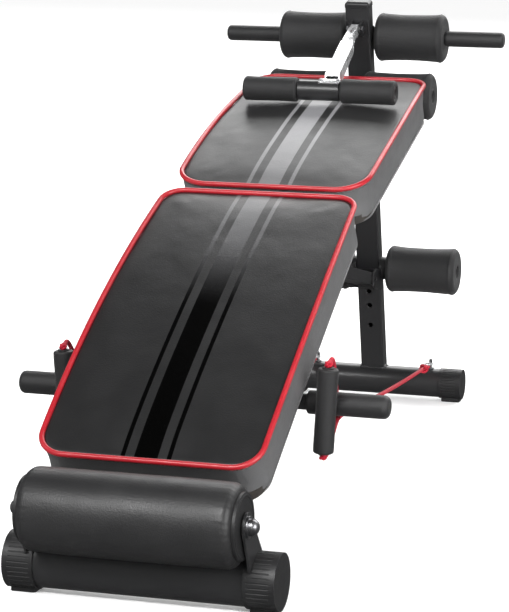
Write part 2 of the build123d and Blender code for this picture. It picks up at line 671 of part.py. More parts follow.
with BuildPart() as t_bar:
    tube(BAR_R, BAR_WALL, T_BAR_HALF - GRIP_END, T_BAR_AXIS)
save(t_bar, "t_bar")

with BuildPart() as t_bar_grips:
    bar_grips(T_BAR_AXIS, BAR_R, T_GRIP_R, T_GRIP_FROM, T_BAR_HALF,
              rounding=6, arc_inset=1.76, bevel=1)
save(t_bar_grips, "t_bar_grips")

roller_pair("t", 24, 137, T_BAR_AXIS, ROLLER_R, ROLLER_WAIST)

# foot rollers on a bar through the upright
with BuildPart() as foot_bar:
    tube(BAR_R, BAR_WALL, 148, FOOT_AXIS)
save(foot_bar, "foot_bar")

FOOT_COLLAR_R = 19
with BuildPart() as foot_collars:
    for x0, x1 in end_planes(20.1, 32.0):
        bar(FOOT_COLLAR_R, x0, x1, FOOT_AXIS)
        bar(BAR_R + FIT, x0 - 1, x1 + 1, FOOT_AXIS, CUT)
save(foot_collars, "foot_collars")

roller_pair("foot", 33.5, 152, FOOT_AXIS, ROLLER_R, ROLLER_WAIST)

# ================================================================ cord eyes and carabiners
# ring, shank and collar, screwed into the top of the rear crossbar
with BuildPart() as cord_eyes:
    crossbar_top = REAR_Z + REAR_TUBE_R
    for x in (-EYE_X, EYE_X):
        disc(tilted_plane(x, (REAR_D, crossbar_top - EYE_SHANK_DEPTH)), EYE_SHANK_R,
             EYE_SHANK_DEPTH + 3.6)
        disc(tilted_plane(x, (REAR_D, crossbar_top + FIT)), 6.0, 1.8)
        centre = at(x, REAR_D, EYE_Z)
        with BuildSketch(Plane(origin=centre, x_dir=(1, 0, 0), z_dir=(0, -1, 0))) as wire:
            with Locations((0, EYE_R)):
                Circle(EYE_WIRE_R)
        revolve(wire.sketch, axis=Axis(centre, (1, 0, 0)))
save(cord_eyes, "cord_eyes")

# oval links through the eyes, drawn towards the low end
with BuildPart() as carabiners:
    cos, sin = math.cos(LINK_TILT), math.sin(LINK_TILT)
    half, end_r = LINK_STRAIGHT / 2, LINK_END_R
    for x in (-EYE_X, EYE_X):
        plane = Plane(origin=at(x, LINK_D, LINK_Z), x_dir=(0, cos, sin), z_dir=(0, -sin, cos))
        with BuildLine(plane) as path:
            Line((-half, end_r), (half, end_r))
            ThreePointArc((half, end_r), (half + end_r, 0), (half, -end_r))
            Line((half, -end_r), (-half, -end_r))
            ThreePointArc((-half, -end_r), (-half - end_r, 0), (-half, end_r))
        with BuildSketch(Plane(origin=path.line @ 0, z_dir=path.line % 0)) as wire:
            Circle(LINK_WIRE_R)
        sweep(wire.sketch, path=path.line, transition=Transition.ROUND)
save(carabiners, "carabiners")

# ================================================================ strut lock
# bracket on the upright's front face that takes the strut's end
CHEEK_IN, CHEEK_OUT = 20.5, 23.5
CHEEK_FRONT = [(1112, 238), (1095, 234), (1093, 212), (1112, 203)]
with BuildPart() as strut_bracket:
    low, high = front_point(197), front_point(231)
    plate([low, high, front_point(231, 3.0), front_point(197, 3.0)], -CHEEK_OUT, CHEEK_OUT)
    for x0, x1 in end_planes(CHEEK_IN, CHEEK_OUT):
        plate([low, high, *CHEEK_FRONT], x0, x1)
    # barrel for the locking pin
    bar(8.5, -37.0, -23.4, LOCK_AXIS)
    bar(LOCK_PIN_R + RUN, -40, -20, LOCK_AXIS, CUT)
    bar(LOCK_HOLE_R, 18, 30, LOCK_AXIS, CUT)
    # clear of the foot bar's collars
    for x0, x1 in end_planes(20.0, 30):
        bar(FOOT_COLLAR_R + 0.3, x0, x1, FOOT_AXIS, CUT)
save(strut_bracket, "strut_bracket")

with BuildPart() as lock_pin:
    bar(LOCK_PIN_R, -49.0, -19.6, LOCK_AXIS)
save(lock_pin, "lock_pin")

KNOB_IN, KNOB_HOLE_END, KNOB_OUT = -37.2, -49.2, -62.0
KNOB_NECK_R, KNOB_R, KNOB_HOLE_R = 8.0, 11.0, LOCK_PIN_R + FIT
with BuildPart() as lock_knob:
    turned(
        LOCK_AXIS,
        (Polyline, (KNOB_IN, KNOB_HOLE_R), (KNOB_IN, KNOB_NECK_R), (-42.0, KNOB_NECK_R),
         (-46.0, KNOB_R), (-58.0, KNOB_R)),
        (ThreePointArc, (-58.0, KNOB_R), (-60.8, 9.8), (KNOB_OUT, 7.0)),
        (Polyline, (KNOB_OUT, 7.0), (KNOB_OUT, 0), (KNOB_HOLE_END, 0),
         (KNOB_HOLE_END, KNOB_HOLE_R), (KNOB_IN, KNOB_HOLE_R)),
    )
save(lock_knob, "lock_knob")

# ================================================================ knee arm
# ears on the upright's front face, either side of the arm's eye
with BuildPart() as knee_arm_ears:
    for x0, x1 in end_planes(PIVOT_EAR_IN, PIVOT_EAR_OUT):
        plate([front_point(632), front_point(658), (PIVOT_D - 4, PIVOT_Z + 8),
               (PIVOT_D - 4, PIVOT_Z - 8)], x0, x1, lobes=[(PIVOT_AXIS, 9.0)])
        # nothing inside the upright
        plate([front_point(600), front_point(690), (1120, 690), (1120, 600)],
              x0 - 1, x1 + 1, CUT)
        bar(PIVOT_BOLT_R + FIT, x0 - 1, x1 + 1, PIVOT_AXIS, CUT)
save(knee_arm_ears, "knee_arm_ears")

with BuildPart() as knee_pivot_bolt:
    bar(PIVOT_BOLT_R, -PIVOT_BOLT_HALF, PIVOT_BOLT_HALF, PIVOT_AXIS)
    for x0, x1 in end_planes(PIVOT_EAR_OUT + 0.05, PIVOT_BOLT_HALF):
        hex_bar(6.2, x0, x1, PIVOT_AXIS)
save(knee_pivot_bolt, "knee_pivot_bolt")

# bar with a thick middle that the arm is clamped to
with BuildPart() as knee_bar:
    bar(BAR_R, -119, 119, KNEE_AXIS)
    bar(SLEEVE_R, -SLEEVE_HALF, SLEEVE_HALF, KNEE_AXIS)
    circles = knee_bar.edges().filter_by(GeomType.CIRCLE)
    chamfer([e for e in circles if e.radius > SLEEVE_R - 0.1], 1.2)
    bore(BAR_R - 2, 120, KNEE_AXIS)
save(knee_bar, "knee_bar")

roller_pair("knee", 34.6, 122, KNEE_AXIS, KNEE_ROLLER_R, KNEE_ROLLER_R - 0.6, rounding=5.0)

# The arm's own frame: l runs from the knee bar's axis to the pivot, h square above it.
ARM_LEN = math.dist(KNEE_AXIS, PIVOT_AXIS)
ARM_U = tuple((pivot - knee) / ARM_LEN for knee, pivot in zip(KNEE_AXIS, PIVOT_AXIS))
ARM_NORMAL = (0, -ARM_U[1], ARM_U[0])
ARM_PLANE = Plane(origin=at(0, *KNEE_AXIS), x_dir=(1, 0, 0), z_dir=ARM_NORMAL)
ARM_HALF_W, ARM_HOLLOW_HALF_W = 11.5, 9.9

# (l, h) outlines in side view
ARM_OUTLINE = [(11, 7.5), (20, 21.0), (150, 13.2), (183, 8.0), (189, -4.6), (30, -1.5), (12, -2)]
ARM_HOLLOW = [(8, 9.0), (21, 19.4), (150, 11.6), (181, 6.6), (186.5, -3.0), (30, 0.1), (10, 0)]
ARM_GROOVE = [(30, 19.3), (34, 40), (160, 40), (172, 9.6), (150, 12.2), (40, 18.8)]
ARM_TONGUE = [(168, 0.5), (168, 9.0), (186, 9.0), (ARM_LEN, 8.2), (ARM_LEN, -8.2), (186, -4.0)]
ARM_SLOT = [(196, -20), (196, 20), (213, 20), (213, -20)]
SADDLE_CUT = [(-30, -30), (40, -30), (40, -5), (3, 2), (-5, 8), (-5, 40), (-30, 40)]
# (x, l) outlines in plan of the slanted shoulders at the top
ARM_SHOULDERS = [
    ((-12, 152), (-12, 200), (-3.6, 200), (-3.6, 172)),
    ((12, 136), (12, 200), (5.0, 200), (5.6, 180)),
]


def arm_plate(outline, x0, x1, mode=Mode.ADD, lobes=()):
    points = [(KNEE_AXIS[0] + ARM_U[0] * l - ARM_U[1] * h,
               KNEE_AXIS[1] + ARM_U[1] * l + ARM_U[0] * h) for l, h in outline]
    plate(points, x0, x1, mode, lobes)


with BuildPart() as arm_tube:
    arm_plate(ARM_OUTLINE, -ARM_HALF_W, ARM_HALF_W)
    arm_plate(ARM_HOLLOW, -ARM_HOLLOW_HALF_W, ARM_HOLLOW_HALF_W, CUT)
    # long corners of the tube
    fillet([e for e in arm_tube.edges().filter_by(GeomType.LINE)
            if abs(abs(e.center().X) - ARM_HALF_W) < 0.01 and e.length > 100], 1.5)
    for shoulder in ARM_SHOULDERS:
        with BuildSketch(ARM_PLANE) as section:
            with BuildLine():
                Polyline(*shoulder, close=True)
            make_face()
        extrude(section.sketch, amount=30, both=True, mode=CUT)
    # groove along the tube's top
    arm_plate(ARM_GROOVE, -6.0, -3.4, CUT)

with BuildPart() as knee_arm:
    # the tube swings sideways about the pivot end
    swing = math.degrees(math.atan(ARM_FOOT_X / ARM_LEN))
    add(arm_tube.part.rotate(Axis(at(0, *PIVOT_AXIS), ARM_NORMAL), swing))
    # tongue and eye, slotted lengthwise
    arm_plate(ARM_TONGUE, -6.3, 6.3, lobes=[(PIVOT_AXIS, 8.2)])
    arm_plate(ARM_SLOT, -2.0, 2.6, CUT)
    # saddle over part of the bar's middle
    bar(SADDLE_R, ARM_FOOT_X - 17.5, ARM_FOOT_X + 15.5, KNEE_AXIS)
    arm_plate(SADDLE_CUT, -40, 40, CUT)
    bore(SLEEVE_R + FIT, SLEEVE_HALF + 0.3, KNEE_AXIS)
    bore(PIVOT_BOLT_R + RUN, 30, PIVOT_AXIS)
save(knee_arm, "knee_arm")

# two round bolt heads on the saddle
with BuildPart() as knee_arm_bolts:
    for x in (ARM_FOOT_X - 14.4, ARM_FOOT_X + 12.6):
        plane = Plane(origin=at(x, *KNEE_AXIS), x_dir=(1, 0, 0), z_dir=ARM_NORMAL)
        disc(plane.offset(SLEEVE_R + 2.2), 2.5, 2.2)
    bar(SADDLE_R + FIT, -20, 40, KNEE_AXIS, CUT)
save(knee_arm_bolts, "knee_arm_bolts")


# ================================================================ handles and cords
def build_handle(side, sign):
    """Grip, the cord looped through it and the long cord, on the side of sign * X."""
    centre = at(sign * HANDLE_X, HANDLE_D, HANDLE_Z)
    axis = (sign * math.sin(HANDLE_LEAN), 0, math.cos(HANDLE_LEAN))
    half, hole_r = HANDLE_LEN / 2, CORD_R + 0.1
    rim, end, arc_inset = HANDLE_R - HANDLE_ROUND, half - HANDLE_ROUND, 0.88
    arc_r, arc_end = HANDLE_R - arc_inset, half - arc_inset

    with BuildPart() as grip:
        plane = Plane(origin=centre, x_dir=(axis[2], 0, -axis[0]), z_dir=(0, -1, 0))
        with BuildSketch(plane) as section:
            with BuildLine():
                Polyline((hole_r, -half), (rim, -half))
                ThreePointArc((rim, -half), (arc_r, -arc_end), (HANDLE_R, -end))
                Line((HANDLE_R, -end), (HANDLE_R, end))
                ThreePointArc((HANDLE_R, end), (arc_r, arc_end), (rim, half))
                Polyline((rim, half), (hole_r, half), (hole_r, -half))
            make_face()
        revolve(section.sketch, axis=Axis(centre, axis))
    save(grip, "handle_grip_" + side)

    def on_axis(along, behind=0.0):
        return (centre[0] + axis[0] * along, centre[1] + behind, centre[2] + axis[2] * along)

    knot_x = sign * KNOT_X
    with BuildPart() as loop:
        # through the grip, both ends gathered behind the push-up bar
        with BuildLine() as path:
            Polyline(at(knot_x, KNOT_D, KNOT_Z + 3), on_axis(half + 14, 8), on_axis(half + 8),
                     on_axis(-half - 8), on_axis(-half - 13, 8), at(knot_x, KNOT_D, KNOT_Z - 5))
        with BuildSketch(Plane(origin=path.line @ 0, z_dir=path.line % 0)) as section:
            Circle(CORD_R)
        sweep(section.sketch, path=path.line, transition=Transition.RIGHT)
    save(loop, "handle_cord_" + side)

    with BuildPart() as cord:
        # straight from the gathered ends to the carabiner
        start = Vector(*at(knot_x, KNOT_D + 8.0, KNOT_Z - 1.5))
        finish = Vector(*at(sign * EYE_X, LINK_D - LINK_REACH - 5.0, LINK_Z + 3.4))
        run = finish - start
        disc(Plane(origin=start, z_dir=run.normalized()), CORD_R, run.length)
    save(cord, "cord_" + side)


build_handle("right", 1)
build_handle("left", -1)
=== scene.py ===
"""Exercise bench: arched back and seat pads on a tube frame, a bolster, foam rollers, a
leaning upright with a T-bar, and two pull handles on long elastic cords.

The bench runs along +Y from its front crossbar to the upright at the rear.  X is its
width with left at -X, and Z is up from the floor.  The scene is in metres; profiles,
outlines and tube radii are in millimetres.
"""
import json
import math

import bmesh
import bpy
import numpy as np
from mathutils import Matrix, Vector, noise


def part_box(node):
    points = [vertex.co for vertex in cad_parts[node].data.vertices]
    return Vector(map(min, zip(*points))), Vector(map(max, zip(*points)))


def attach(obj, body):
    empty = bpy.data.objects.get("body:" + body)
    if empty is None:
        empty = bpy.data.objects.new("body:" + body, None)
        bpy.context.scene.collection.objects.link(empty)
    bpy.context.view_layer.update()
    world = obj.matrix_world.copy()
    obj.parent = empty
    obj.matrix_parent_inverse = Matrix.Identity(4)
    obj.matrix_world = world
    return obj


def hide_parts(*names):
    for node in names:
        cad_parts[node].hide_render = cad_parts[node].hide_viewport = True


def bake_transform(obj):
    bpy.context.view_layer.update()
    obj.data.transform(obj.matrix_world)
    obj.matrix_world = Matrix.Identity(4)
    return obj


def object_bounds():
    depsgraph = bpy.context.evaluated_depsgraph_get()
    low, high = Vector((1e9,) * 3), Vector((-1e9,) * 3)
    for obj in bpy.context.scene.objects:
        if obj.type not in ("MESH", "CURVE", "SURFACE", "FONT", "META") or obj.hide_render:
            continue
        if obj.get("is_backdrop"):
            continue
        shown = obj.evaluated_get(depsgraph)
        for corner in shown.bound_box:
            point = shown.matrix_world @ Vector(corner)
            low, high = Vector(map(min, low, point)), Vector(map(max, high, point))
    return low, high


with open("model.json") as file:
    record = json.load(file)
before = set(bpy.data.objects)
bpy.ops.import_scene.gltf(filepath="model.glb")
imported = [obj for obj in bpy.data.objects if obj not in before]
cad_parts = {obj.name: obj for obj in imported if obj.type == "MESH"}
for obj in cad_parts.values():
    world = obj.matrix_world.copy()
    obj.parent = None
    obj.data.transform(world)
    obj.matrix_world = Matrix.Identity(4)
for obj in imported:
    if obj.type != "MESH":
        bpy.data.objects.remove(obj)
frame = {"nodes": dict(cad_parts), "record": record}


def as_lists(bounds):
    """Bounds as plain floats, ready for JSON."""
    # the bounds may be a list of points or one flat list of numbers
    try:
        return [[float(c) for c in point] for point in bounds]
    except TypeError:
        return [float(c) for c in bounds]


CAD_BOX = as_lists(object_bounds())
NODES = frame["nodes"]
scene = bpy.context.scene

FRONT_Y = -0.5586    # the front crossbar, m
SIDES = (("left", -1), ("right", 1))


def place(x, depth, z):
    """Millimetres, with depth measured behind the front crossbar, to metres."""
    return Vector((x / 1000.0, FRONT_Y + depth / 1000.0, z / 1000.0))


def measure(node):
    """Centre, low corner and high corner of a CAD piece, m."""
    low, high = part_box(node)
    return (low + high) / 2, low, high


# ------------------------------------------------------------------ pad shape
SIDE_BOW = 4.0       # how far the pads' long sides bow outwards, mm
CORNER_STEPS = 14


class Pad:
    """An arched pad: x across, y along the chord from its middle, z out of the top, mm."""

    def __init__(self, near, far, sag, near_width, far_width, near_radius, far_radius, foam):
        """near and far are the chord's ends as (depth, z)."""
        angle = math.atan2(far[1] - near[1], far[0] - near[0])
        self.length = math.dist(near, far)
        self.middle = ((near[0] + far[0]) / 2, (near[1] + far[1]) / 2)
        self.along = (math.cos(angle), math.sin(angle))
        self.normal = (-math.sin(angle), math.cos(angle))
        self.sag = sag
        self.arch_radius = self.length ** 2 / (8 * sag) + sag / 2
        self.near_width, self.far_width = near_width, far_width
        self.near_radius, self.far_radius = near_radius, far_radius
        self.foam = foam

    def bend(self, x, y, z):
        """Flat pad coordinates to a place on the arched pad, m."""
        angle = math.asin(max(-0.99, min(0.99, y / self.arch_radius)))
        radius = self.arch_radius + z
        run = radius * math.sin(angle)
        rise = radius * math.cos(angle) - (self.arch_radius - self.sag)
        return place(x, self.middle[0] + run * self.along[0] + rise * self.normal[0],
                     self.middle[1] + run * self.along[1] + rise * self.normal[1])

    def half_width(self, y):
        """Half width at y before the corners are rounded: a parabola through three widths."""
        k = y / self.length + 0.5
        near, far = self.near_width / 2, self.far_width / 2
        mid = (near + far) / 2 + SIDE_BOW
        return near * (1 - k) * (1 - 2 * k) + mid * 4 * k * (1 - k) + far * k * (2 * k - 1)

    def outline(self, inset, step):
        """Closed, evenly spaced list of (x, y, out_x, out_y) along the rounded outline."""
        half = self.length / 2

        def corner(side, end, start_angle):
            radius = self.near_radius if end < 0 else self.far_radius
            width = self.half_width(end * (half - radius * 0.6))
            centre_x, centre_y = side * (width - radius), end * (half - radius)
            points = []
            for i in range(CORNER_STEPS + 1):
                angle = math.radians(start_angle + 90 * i / CORNER_STEPS)
                points.append((centre_x + radius * math.cos(angle),
                               centre_y + radius * math.sin(angle)))
            return points

        def run(start, end, bow):
            count = max(2, int(math.dist(start, end) / step))
            points = []
            for i in range(1, count):
                k = i / count
                points.append((start[0] + (end[0] - start[0]) * k + bow * 4 * k * (1 - k),
                               start[1] + (end[1] - start[1]) * k))
            return points

        corners = [corner(1, -1, -90), corner(1, 1, 0), corner(-1, 1, 90), corner(-1, -1, 180)]
        path = []
        for this, following, bow in zip(corners, corners[1:] + corners[:1],
                                        (SIDE_BOW, 0, -SIDE_BOW, 0)):
            path += this + run(this[-1], following[0], bow)

        corners_xy = np.array(path + [path[0]])
        travelled = np.r_[0, np.cumsum(np.hypot(*(np.diff(corners_xy, axis=0).T)))]
        stops = np.linspace(0, travelled[-1], int(travelled[-1] / step), endpoint=False)
        x = np.interp(stops, travelled, corners_xy[:, 0])
        y = np.interp(stops, travelled, corners_xy[:, 1])
        tangent_x = np.roll(x, -1) - np.roll(x, 1)
        tangent_y = np.roll(y, -1) - np.roll(y, 1)
        length = np.hypot(tangent_x, tangent_y)
        out_x, out_y = tangent_y / length, -tangent_x / length
        return [(float(x[i] - out_x[i] * inset), float(y[i] - out_y[i] * inset),
                 float(out_x[i]), float(out_y[i])) for i in range(len(stops))]


BACK_PAD = Pad(near=(-4.5, 187.3), far=(522.6, 459.3), sag=17.0, near_width=310.0,
               far_width=297.0, near_radius=42.0, far_radius=34.0, foam=56.0)
SEAT_PAD = Pad(near=(544.5, 463.3), far=(981.0, 577.6), sag=11.0, near_width=295.0,
               far_width=282.0, near_radius=52.0, far_radius=38.0, foam=54.0)


# ------------------------------------------------------------------ mesh tools
def add_mesh(name, mesh_data, material, body=None, replaces=None):
    """Make a smooth object from (verts, faces), riding on body where one is given."""
    verts, faces = mesh_data
    mesh = bpy.data.meshes.new(name)
    mesh.from_pydata([tuple(v) for v in verts], [], faces)
    mesh.validate()
    edit = bmesh.new()
    edit.from_mesh(mesh)
    bmesh.ops.recalc_face_normals(edit, faces=edit.faces[:])
    edit.to_mesh(mesh)
    edit.free()
    ob = bpy.data.objects.new(name, mesh)
    scene.collection.objects.link(ob)
    mesh.materials.append(MATERIALS[material])
    mesh.polygons.foreach_set("use_smooth", [True] * len(mesh.polygons))
    if body:
        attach(ob, body)
    if replaces:
        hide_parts(replaces)
    return ob


def ring_faces(ring_count, per_ring, closed):
    """Quads between successive rings of points; closed joins the last ring to the first."""
    faces = []
    for i in range(ring_count if closed else ring_count - 1):
        j = (i + 1) % ring_count
        for k in range(per_ring):
            k2 = (k + 1) % per_ring
            faces.append((i * per_ring + k, i * per_ring + k2,
                          j * per_ring + k2, j * per_ring + k))
    return faces


# lathe axis, then the directions at angles 0 and 90 degrees
LATHE_AXES = {
    "X": (Vector((1, 0, 0)), Vector((0, 1, 0)), Vector((0, 0, 1))),
    "Z": (Vector((0, 0, 1)), Vector((1, 0, 0)), Vector((0, 1, 0))),
}


def lathe(profile, origin, segments, axis="X", closed=True, warp=None):
    """Turn (along, radius) stations, mm, about an axis through origin.

    closed joins the last station to the first; otherwise both ends lie on the axis.
    warp(along, radius, angle) moves each point."""
    forward, across, up = LATHE_AXES[axis]
    verts, rings = [], []
    for along, radius in profile:
        if radius < 1e-6:
            rings.append([len(verts)])
            verts.append(origin + forward * (along / 1000))
            continue
        rings.append(list(range(len(verts), len(verts) + segments)))
        for k in range(segments):
            angle = 2 * math.pi * k / segments
            a, r = warp(along, radius, angle) if warp else (along, radius)
            verts.append(origin + forward * (a / 1000)
                         + (across * math.cos(angle) + up * math.sin(angle)) * (r / 1000))
    faces = []
    count = len(rings)
    for i in range(count if closed else count - 1):
        this, following = rings[i], rings[(i + 1) % count]
        for k in range(segments):
            k2 = (k + 1) % segments
            if len(this) == 1:
                faces.append((this[0], following[k2], following[k]))
            elif len(following) == 1:
                faces.append((this[k], this[k2], following[0]))
            else:
                faces.append((this[k], this[k2], following[k2], following[k]))
    return verts, faces


def arc(centre_along, centre_radius, radius, start, end, steps):
    """Profile points round an arc, angles in degrees."""
    points = []
    for i in range(steps + 1):
        angle = math.radians(start + (end - start) * i / steps)
        points.append((centre_along + radius * math.cos(angle),
                       centre_radius + radius * math.sin(angle)))
    return points


def tube(path, radius, segments, closed=False, scale=None):
    """Round tube along path (m), radius in mm; scale(i) varies it.  Open ends are domed."""
    points = [Vector(p) for p in path]
    count = len(points)
    tangents = []
    for i in range(count):
        if closed:
            step = points[(i + 1) % count] - points[i - 1]
        else:
            step = points[min(i + 1, count - 1)] - points[max(i - 1, 0)]
        tangents.append(step.normalized())

    # carry one side vector along the path so that the tube doesn't spin
    first = tangents[0]
    side = Vector((0, 0, 1)) if abs(first.z) < 0.9 else Vector((1, 0, 0))
    side = (side - first * side.dot(first)).normalized()
    frames = []
    for i, tangent in enumerate(tangents):
        if i:
            side = (side - tangent * side.dot(tangent)).normalized()
        frames.append((side.copy(), tangent.cross(side)))
    twist = 0.0
    if closed:
        last = (frames[-1][0] - first * frames[-1][0].dot(first)).normalized()
        twist = math.atan2(last.dot(frames[0][1]), last.dot(frames[0][0]))

    verts = []
    for i, (side, other) in enumerate(frames):
        offset = -twist * i / count
        reach = radius * (scale(i) if scale else 1.0) / 1000
        for k in range(segments):
            angle = 2 * math.pi * k / segments + offset
            verts.append(points[i] + side * (reach * math.cos(angle))
                         + other * (reach * math.sin(angle)))
    faces = ring_faces(count, segments, closed)
    if closed:
        return verts, faces
    for end, sign in ((0, -1), (count - 1, 1)):
        centre, tangent = points[end], tangents[end]
        tip = len(verts)
        verts.append(centre + tangent * (sign * radius * 0.55 / 1000))
        for k in range(segments):
            verts.append(centre + (verts[end * segments + k] - centre) * 0.75
                         + tangent * (sign * radius * 0.42 / 1000))
        for k in range(segments):
            k2 = (k + 1) % segments
            dome, dome2 = tip + 1 + k, tip + 1 + k2
            faces.append((end * segments + k, end * segments + k2, dome2, dome))
            faces.append((dome, dome2, tip))
    return verts, faces


def smooth_path(path, per_span):
    """Catmull-Rom curve through the points."""
    points = [Vector(p) for p in path]
    padded = [points[0] * 2 - points[1]] + points + [points[-1] * 2 - points[-2]]
    curve = []
    for i in range(len(points) - 1):
        before, start, end, after = padded[i:i + 4]
        for k in range(per_span):
            u = k / per_span
            curve.append(0.5 * ((2 * start) + (end - before) * u
                                + (2 * before - 5 * start + 4 * end - after) * u * u
                                + (3 * start - before - 3 * end + after) * u ** 3))
    curve.append(points[-1].copy())
    return curve


def joined(parts):
    """Several (verts, faces) as one."""
    verts, faces = [], []
    for part_verts, part_faces in parts:
        offset = len(verts)
        verts += list(part_verts)
        faces += [tuple(i + offset for i in face) for face in part_faces]
    return verts, faces


# ------------------------------------------------------------------ shader tools
SOCKETS = {
    "color": "Base Color", "rough": "Roughness", "metal": "Metallic", "normal": "Normal",
    "coat": "Coat Weight", "coat_rough": "Coat Roughness", "spec": "Specular IOR Level",
    "sheen": "Sheen Weight", "sheen_rough": "Sheen Roughness",
}


def grey(value):
    return (value, value, value)


def tinted(color, factor):
    return tuple(c * factor for c in color)


class Shader:
    """A Principled material whose textures use object coordinates (m)."""

    def __init__(self, name):
        self.material = bpy.data.materials.new(name)
        self.material.use_nodes = True
        self.tree = self.material.node_tree
        self.principled = self.tree.nodes["Principled BSDF"]
        self.texture = self.node("ShaderNodeTexCoord")
        self.coords = self.texture.outputs["Object"]

    def node(self, kind, **settings):
        node = self.tree.nodes.new(kind)
        for key, value in settings.items():
            setattr(node, key, value)
        return node

    def put(self, socket, value):
        """Link a socket's value, set a number, or set an RGB colour."""
        if isinstance(value, bpy.types.NodeSocket):
            self.tree.links.new(value, socket)
        elif isinstance(value, tuple):
            socket.default_value = (*value, 1.0)
        else:
            socket.default_value = value

    def calc(self, operation, first, second=0.0, clamp=False):
        node = self.node("ShaderNodeMath", operation=operation, use_clamp=clamp)
        self.put(node.inputs[0], first)
        self.put(node.inputs[1], second)
        return node.outputs[0]

    def times(self, first, second):
        return self.calc("MULTIPLY", first, second)

    def plus(self, first, second):
        return self.calc("ADD", first, second)

    def noise(self, scale, detail=3.0, rough=0.5, coords=None):
        node = self.node("ShaderNodeTexNoise")
        self.put(node.inputs["Vector"], coords or self.coords)
        node.inputs["Scale"].default_value = scale
        node.inputs["Detail"].default_value = detail
        node.inputs["Roughness"].default_value = rough
        return node.outputs["Fac"]

    def voronoi(self, scale, feature="F1"):
        node = self.node("ShaderNodeTexVoronoi", feature=feature)
        self.put(node.inputs["Vector"], self.coords)
        node.inputs["Scale"].default_value = scale
        return node.outputs["Distance"]

    def bands(self, direction, coords=None, **inputs):
        node = self.node("ShaderNodeTexWave", wave_type="BANDS", bands_direction=direction)
        self.put(node.inputs["Vector"], coords or self.coords)
        for key, value in inputs.items():
            node.inputs[key].default_value = value
        return node.outputs["Fac"]

    def stretched(self, x, y, z):
        """Object coordinates scaled along each axis."""
        node = self.node("ShaderNodeMapping")
        node.inputs["Scale"].default_value = (x, y, z)
        self.put(node.inputs[0], self.coords)
        return node.outputs[0]

    def axes(self, vector):
        """The x, y and z outputs of a vector."""
        node = self.node("ShaderNodeSeparateXYZ")
        self.put(node.inputs[0], vector)
        return node.outputs

    def ramp(self, value, span, to=(0.0, 1.0)):
        """Smooth step of value from the range span to the range to."""
        node = self.node("ShaderNodeMapRange", interpolation_type="SMOOTHSTEP")
        self.put(node.inputs["Value"], value)
        node.inputs["From Min"].default_value = span[0]
        node.inputs["From Max"].default_value = span[1]
        node.inputs["To Min"].default_value = to[0]
        node.inputs["To Max"].default_value = to[1]
        return node.outputs["Result"]

    def spread(self, value, low, high):
        """Spread a noise's middle range over low to high."""
        return self.ramp(value, span=(0.3, 0.7), to=(low, high))

    def mix(self, factor, first, second):
        node = self.node("ShaderNodeMix", data_type="RGBA")
        for index, value in ((0, factor), (6, first), (7, second)):
            self.put(node.inputs[index], value)
        return node.outputs[2]

    def mix_number(self, factor, first, second):
        node = self.node("ShaderNodeMix", data_type="FLOAT")
        for index, value in ((0, factor), (2, first), (3, second)):
            self.put(node.inputs[index], value)
        return node.outputs[0]

    def bump(self, height, strength, distance, normal=None):
        node = self.node("ShaderNodeBump")
        self.put(node.inputs["Height"], height)
        node.inputs["Strength"].default_value = strength
        node.inputs["Distance"].default_value = distance
        if normal is not None:
            self.put(node.inputs["Normal"], normal)
        return node.outputs["Normal"]

    def bevel(self, radius):
        node = self.node("ShaderNodeBevel", samples=4)
        node.inputs["Radius"].default_value = radius
        return node.outputs["Normal"]

    def edges(self, bevel, gain):
        """0 on faces, 1 along edges."""
        geometry = self.node("ShaderNodeNewGeometry")
        dot = self.node("ShaderNodeVectorMath", operation="DOT_PRODUCT")
        self.put(dot.inputs[0], bevel)
        self.put(dot.inputs[1], geometry.outputs["Normal"])
        difference = self.calc("SUBTRACT", 1.0, dot.outputs["Value"])
        return self.calc("MULTIPLY", difference, gain, clamp=True)

    def finish(self, **values):
        for key, value in values.items():
            self.put(self.principled.inputs[SOCKETS[key]], value)
        return self.material


# ------------------------------------------------------------------ materials
def powder_coat():
    mat = Shader("satin_powder_coat")
    bevel = mat.bevel(radius=0.0011)
    edges = mat.edges(bevel, gain=4.0)
    peel = mat.noise(scale=900, detail=2.0)
    broad = mat.noise(scale=9, detail=4.0)
    wear = mat.times(edges, mat.ramp(mat.noise(scale=160, detail=4.0), span=(0.52, 0.66)))
    color = mat.mix(broad, (0.011, 0.011, 0.0115), (0.017, 0.017, 0.018))
    bare = (0.10, 0.098, 0.095)
    bare_share = 0.35
    color = mat.mix(mat.times(wear, bare_share), color, bare)
    peel_rough = 0.06
    rough = mat.plus(mat.spread(broad, low=0.30, high=0.40), mat.times(peel, peel_rough))
    return mat.finish(color=color, rough=rough, coat=0.15, coat_rough=0.25,
                      normal=mat.bump(peel, strength=0.22, distance=0.0004, normal=bevel))


def black_plastic():
    mat = Shader("black_plastic")
    bevel = mat.bevel(radius=0.0012)
    edges = mat.edges(bevel, gain=3.0)
    grain = mat.voronoi(scale=1500)
    broad = mat.noise(scale=25)
    black = (0.0095, 0.0095, 0.010)
    color = mat.mix(broad, tinted(black, factor=0.8), tinted(black, factor=1.35))
    scuffs = mat.ramp(mat.noise(scale=220), span=(0.45, 0.7), to=(0, 0.35))
    color = mat.mix(mat.times(edges, scuffs), color, grey(0.09))
    return mat.finish(color=color, rough=mat.spread(broad, low=0.40, high=0.52),
                      normal=mat.bump(grain, strength=0.25, distance=0.0003, normal=bevel))


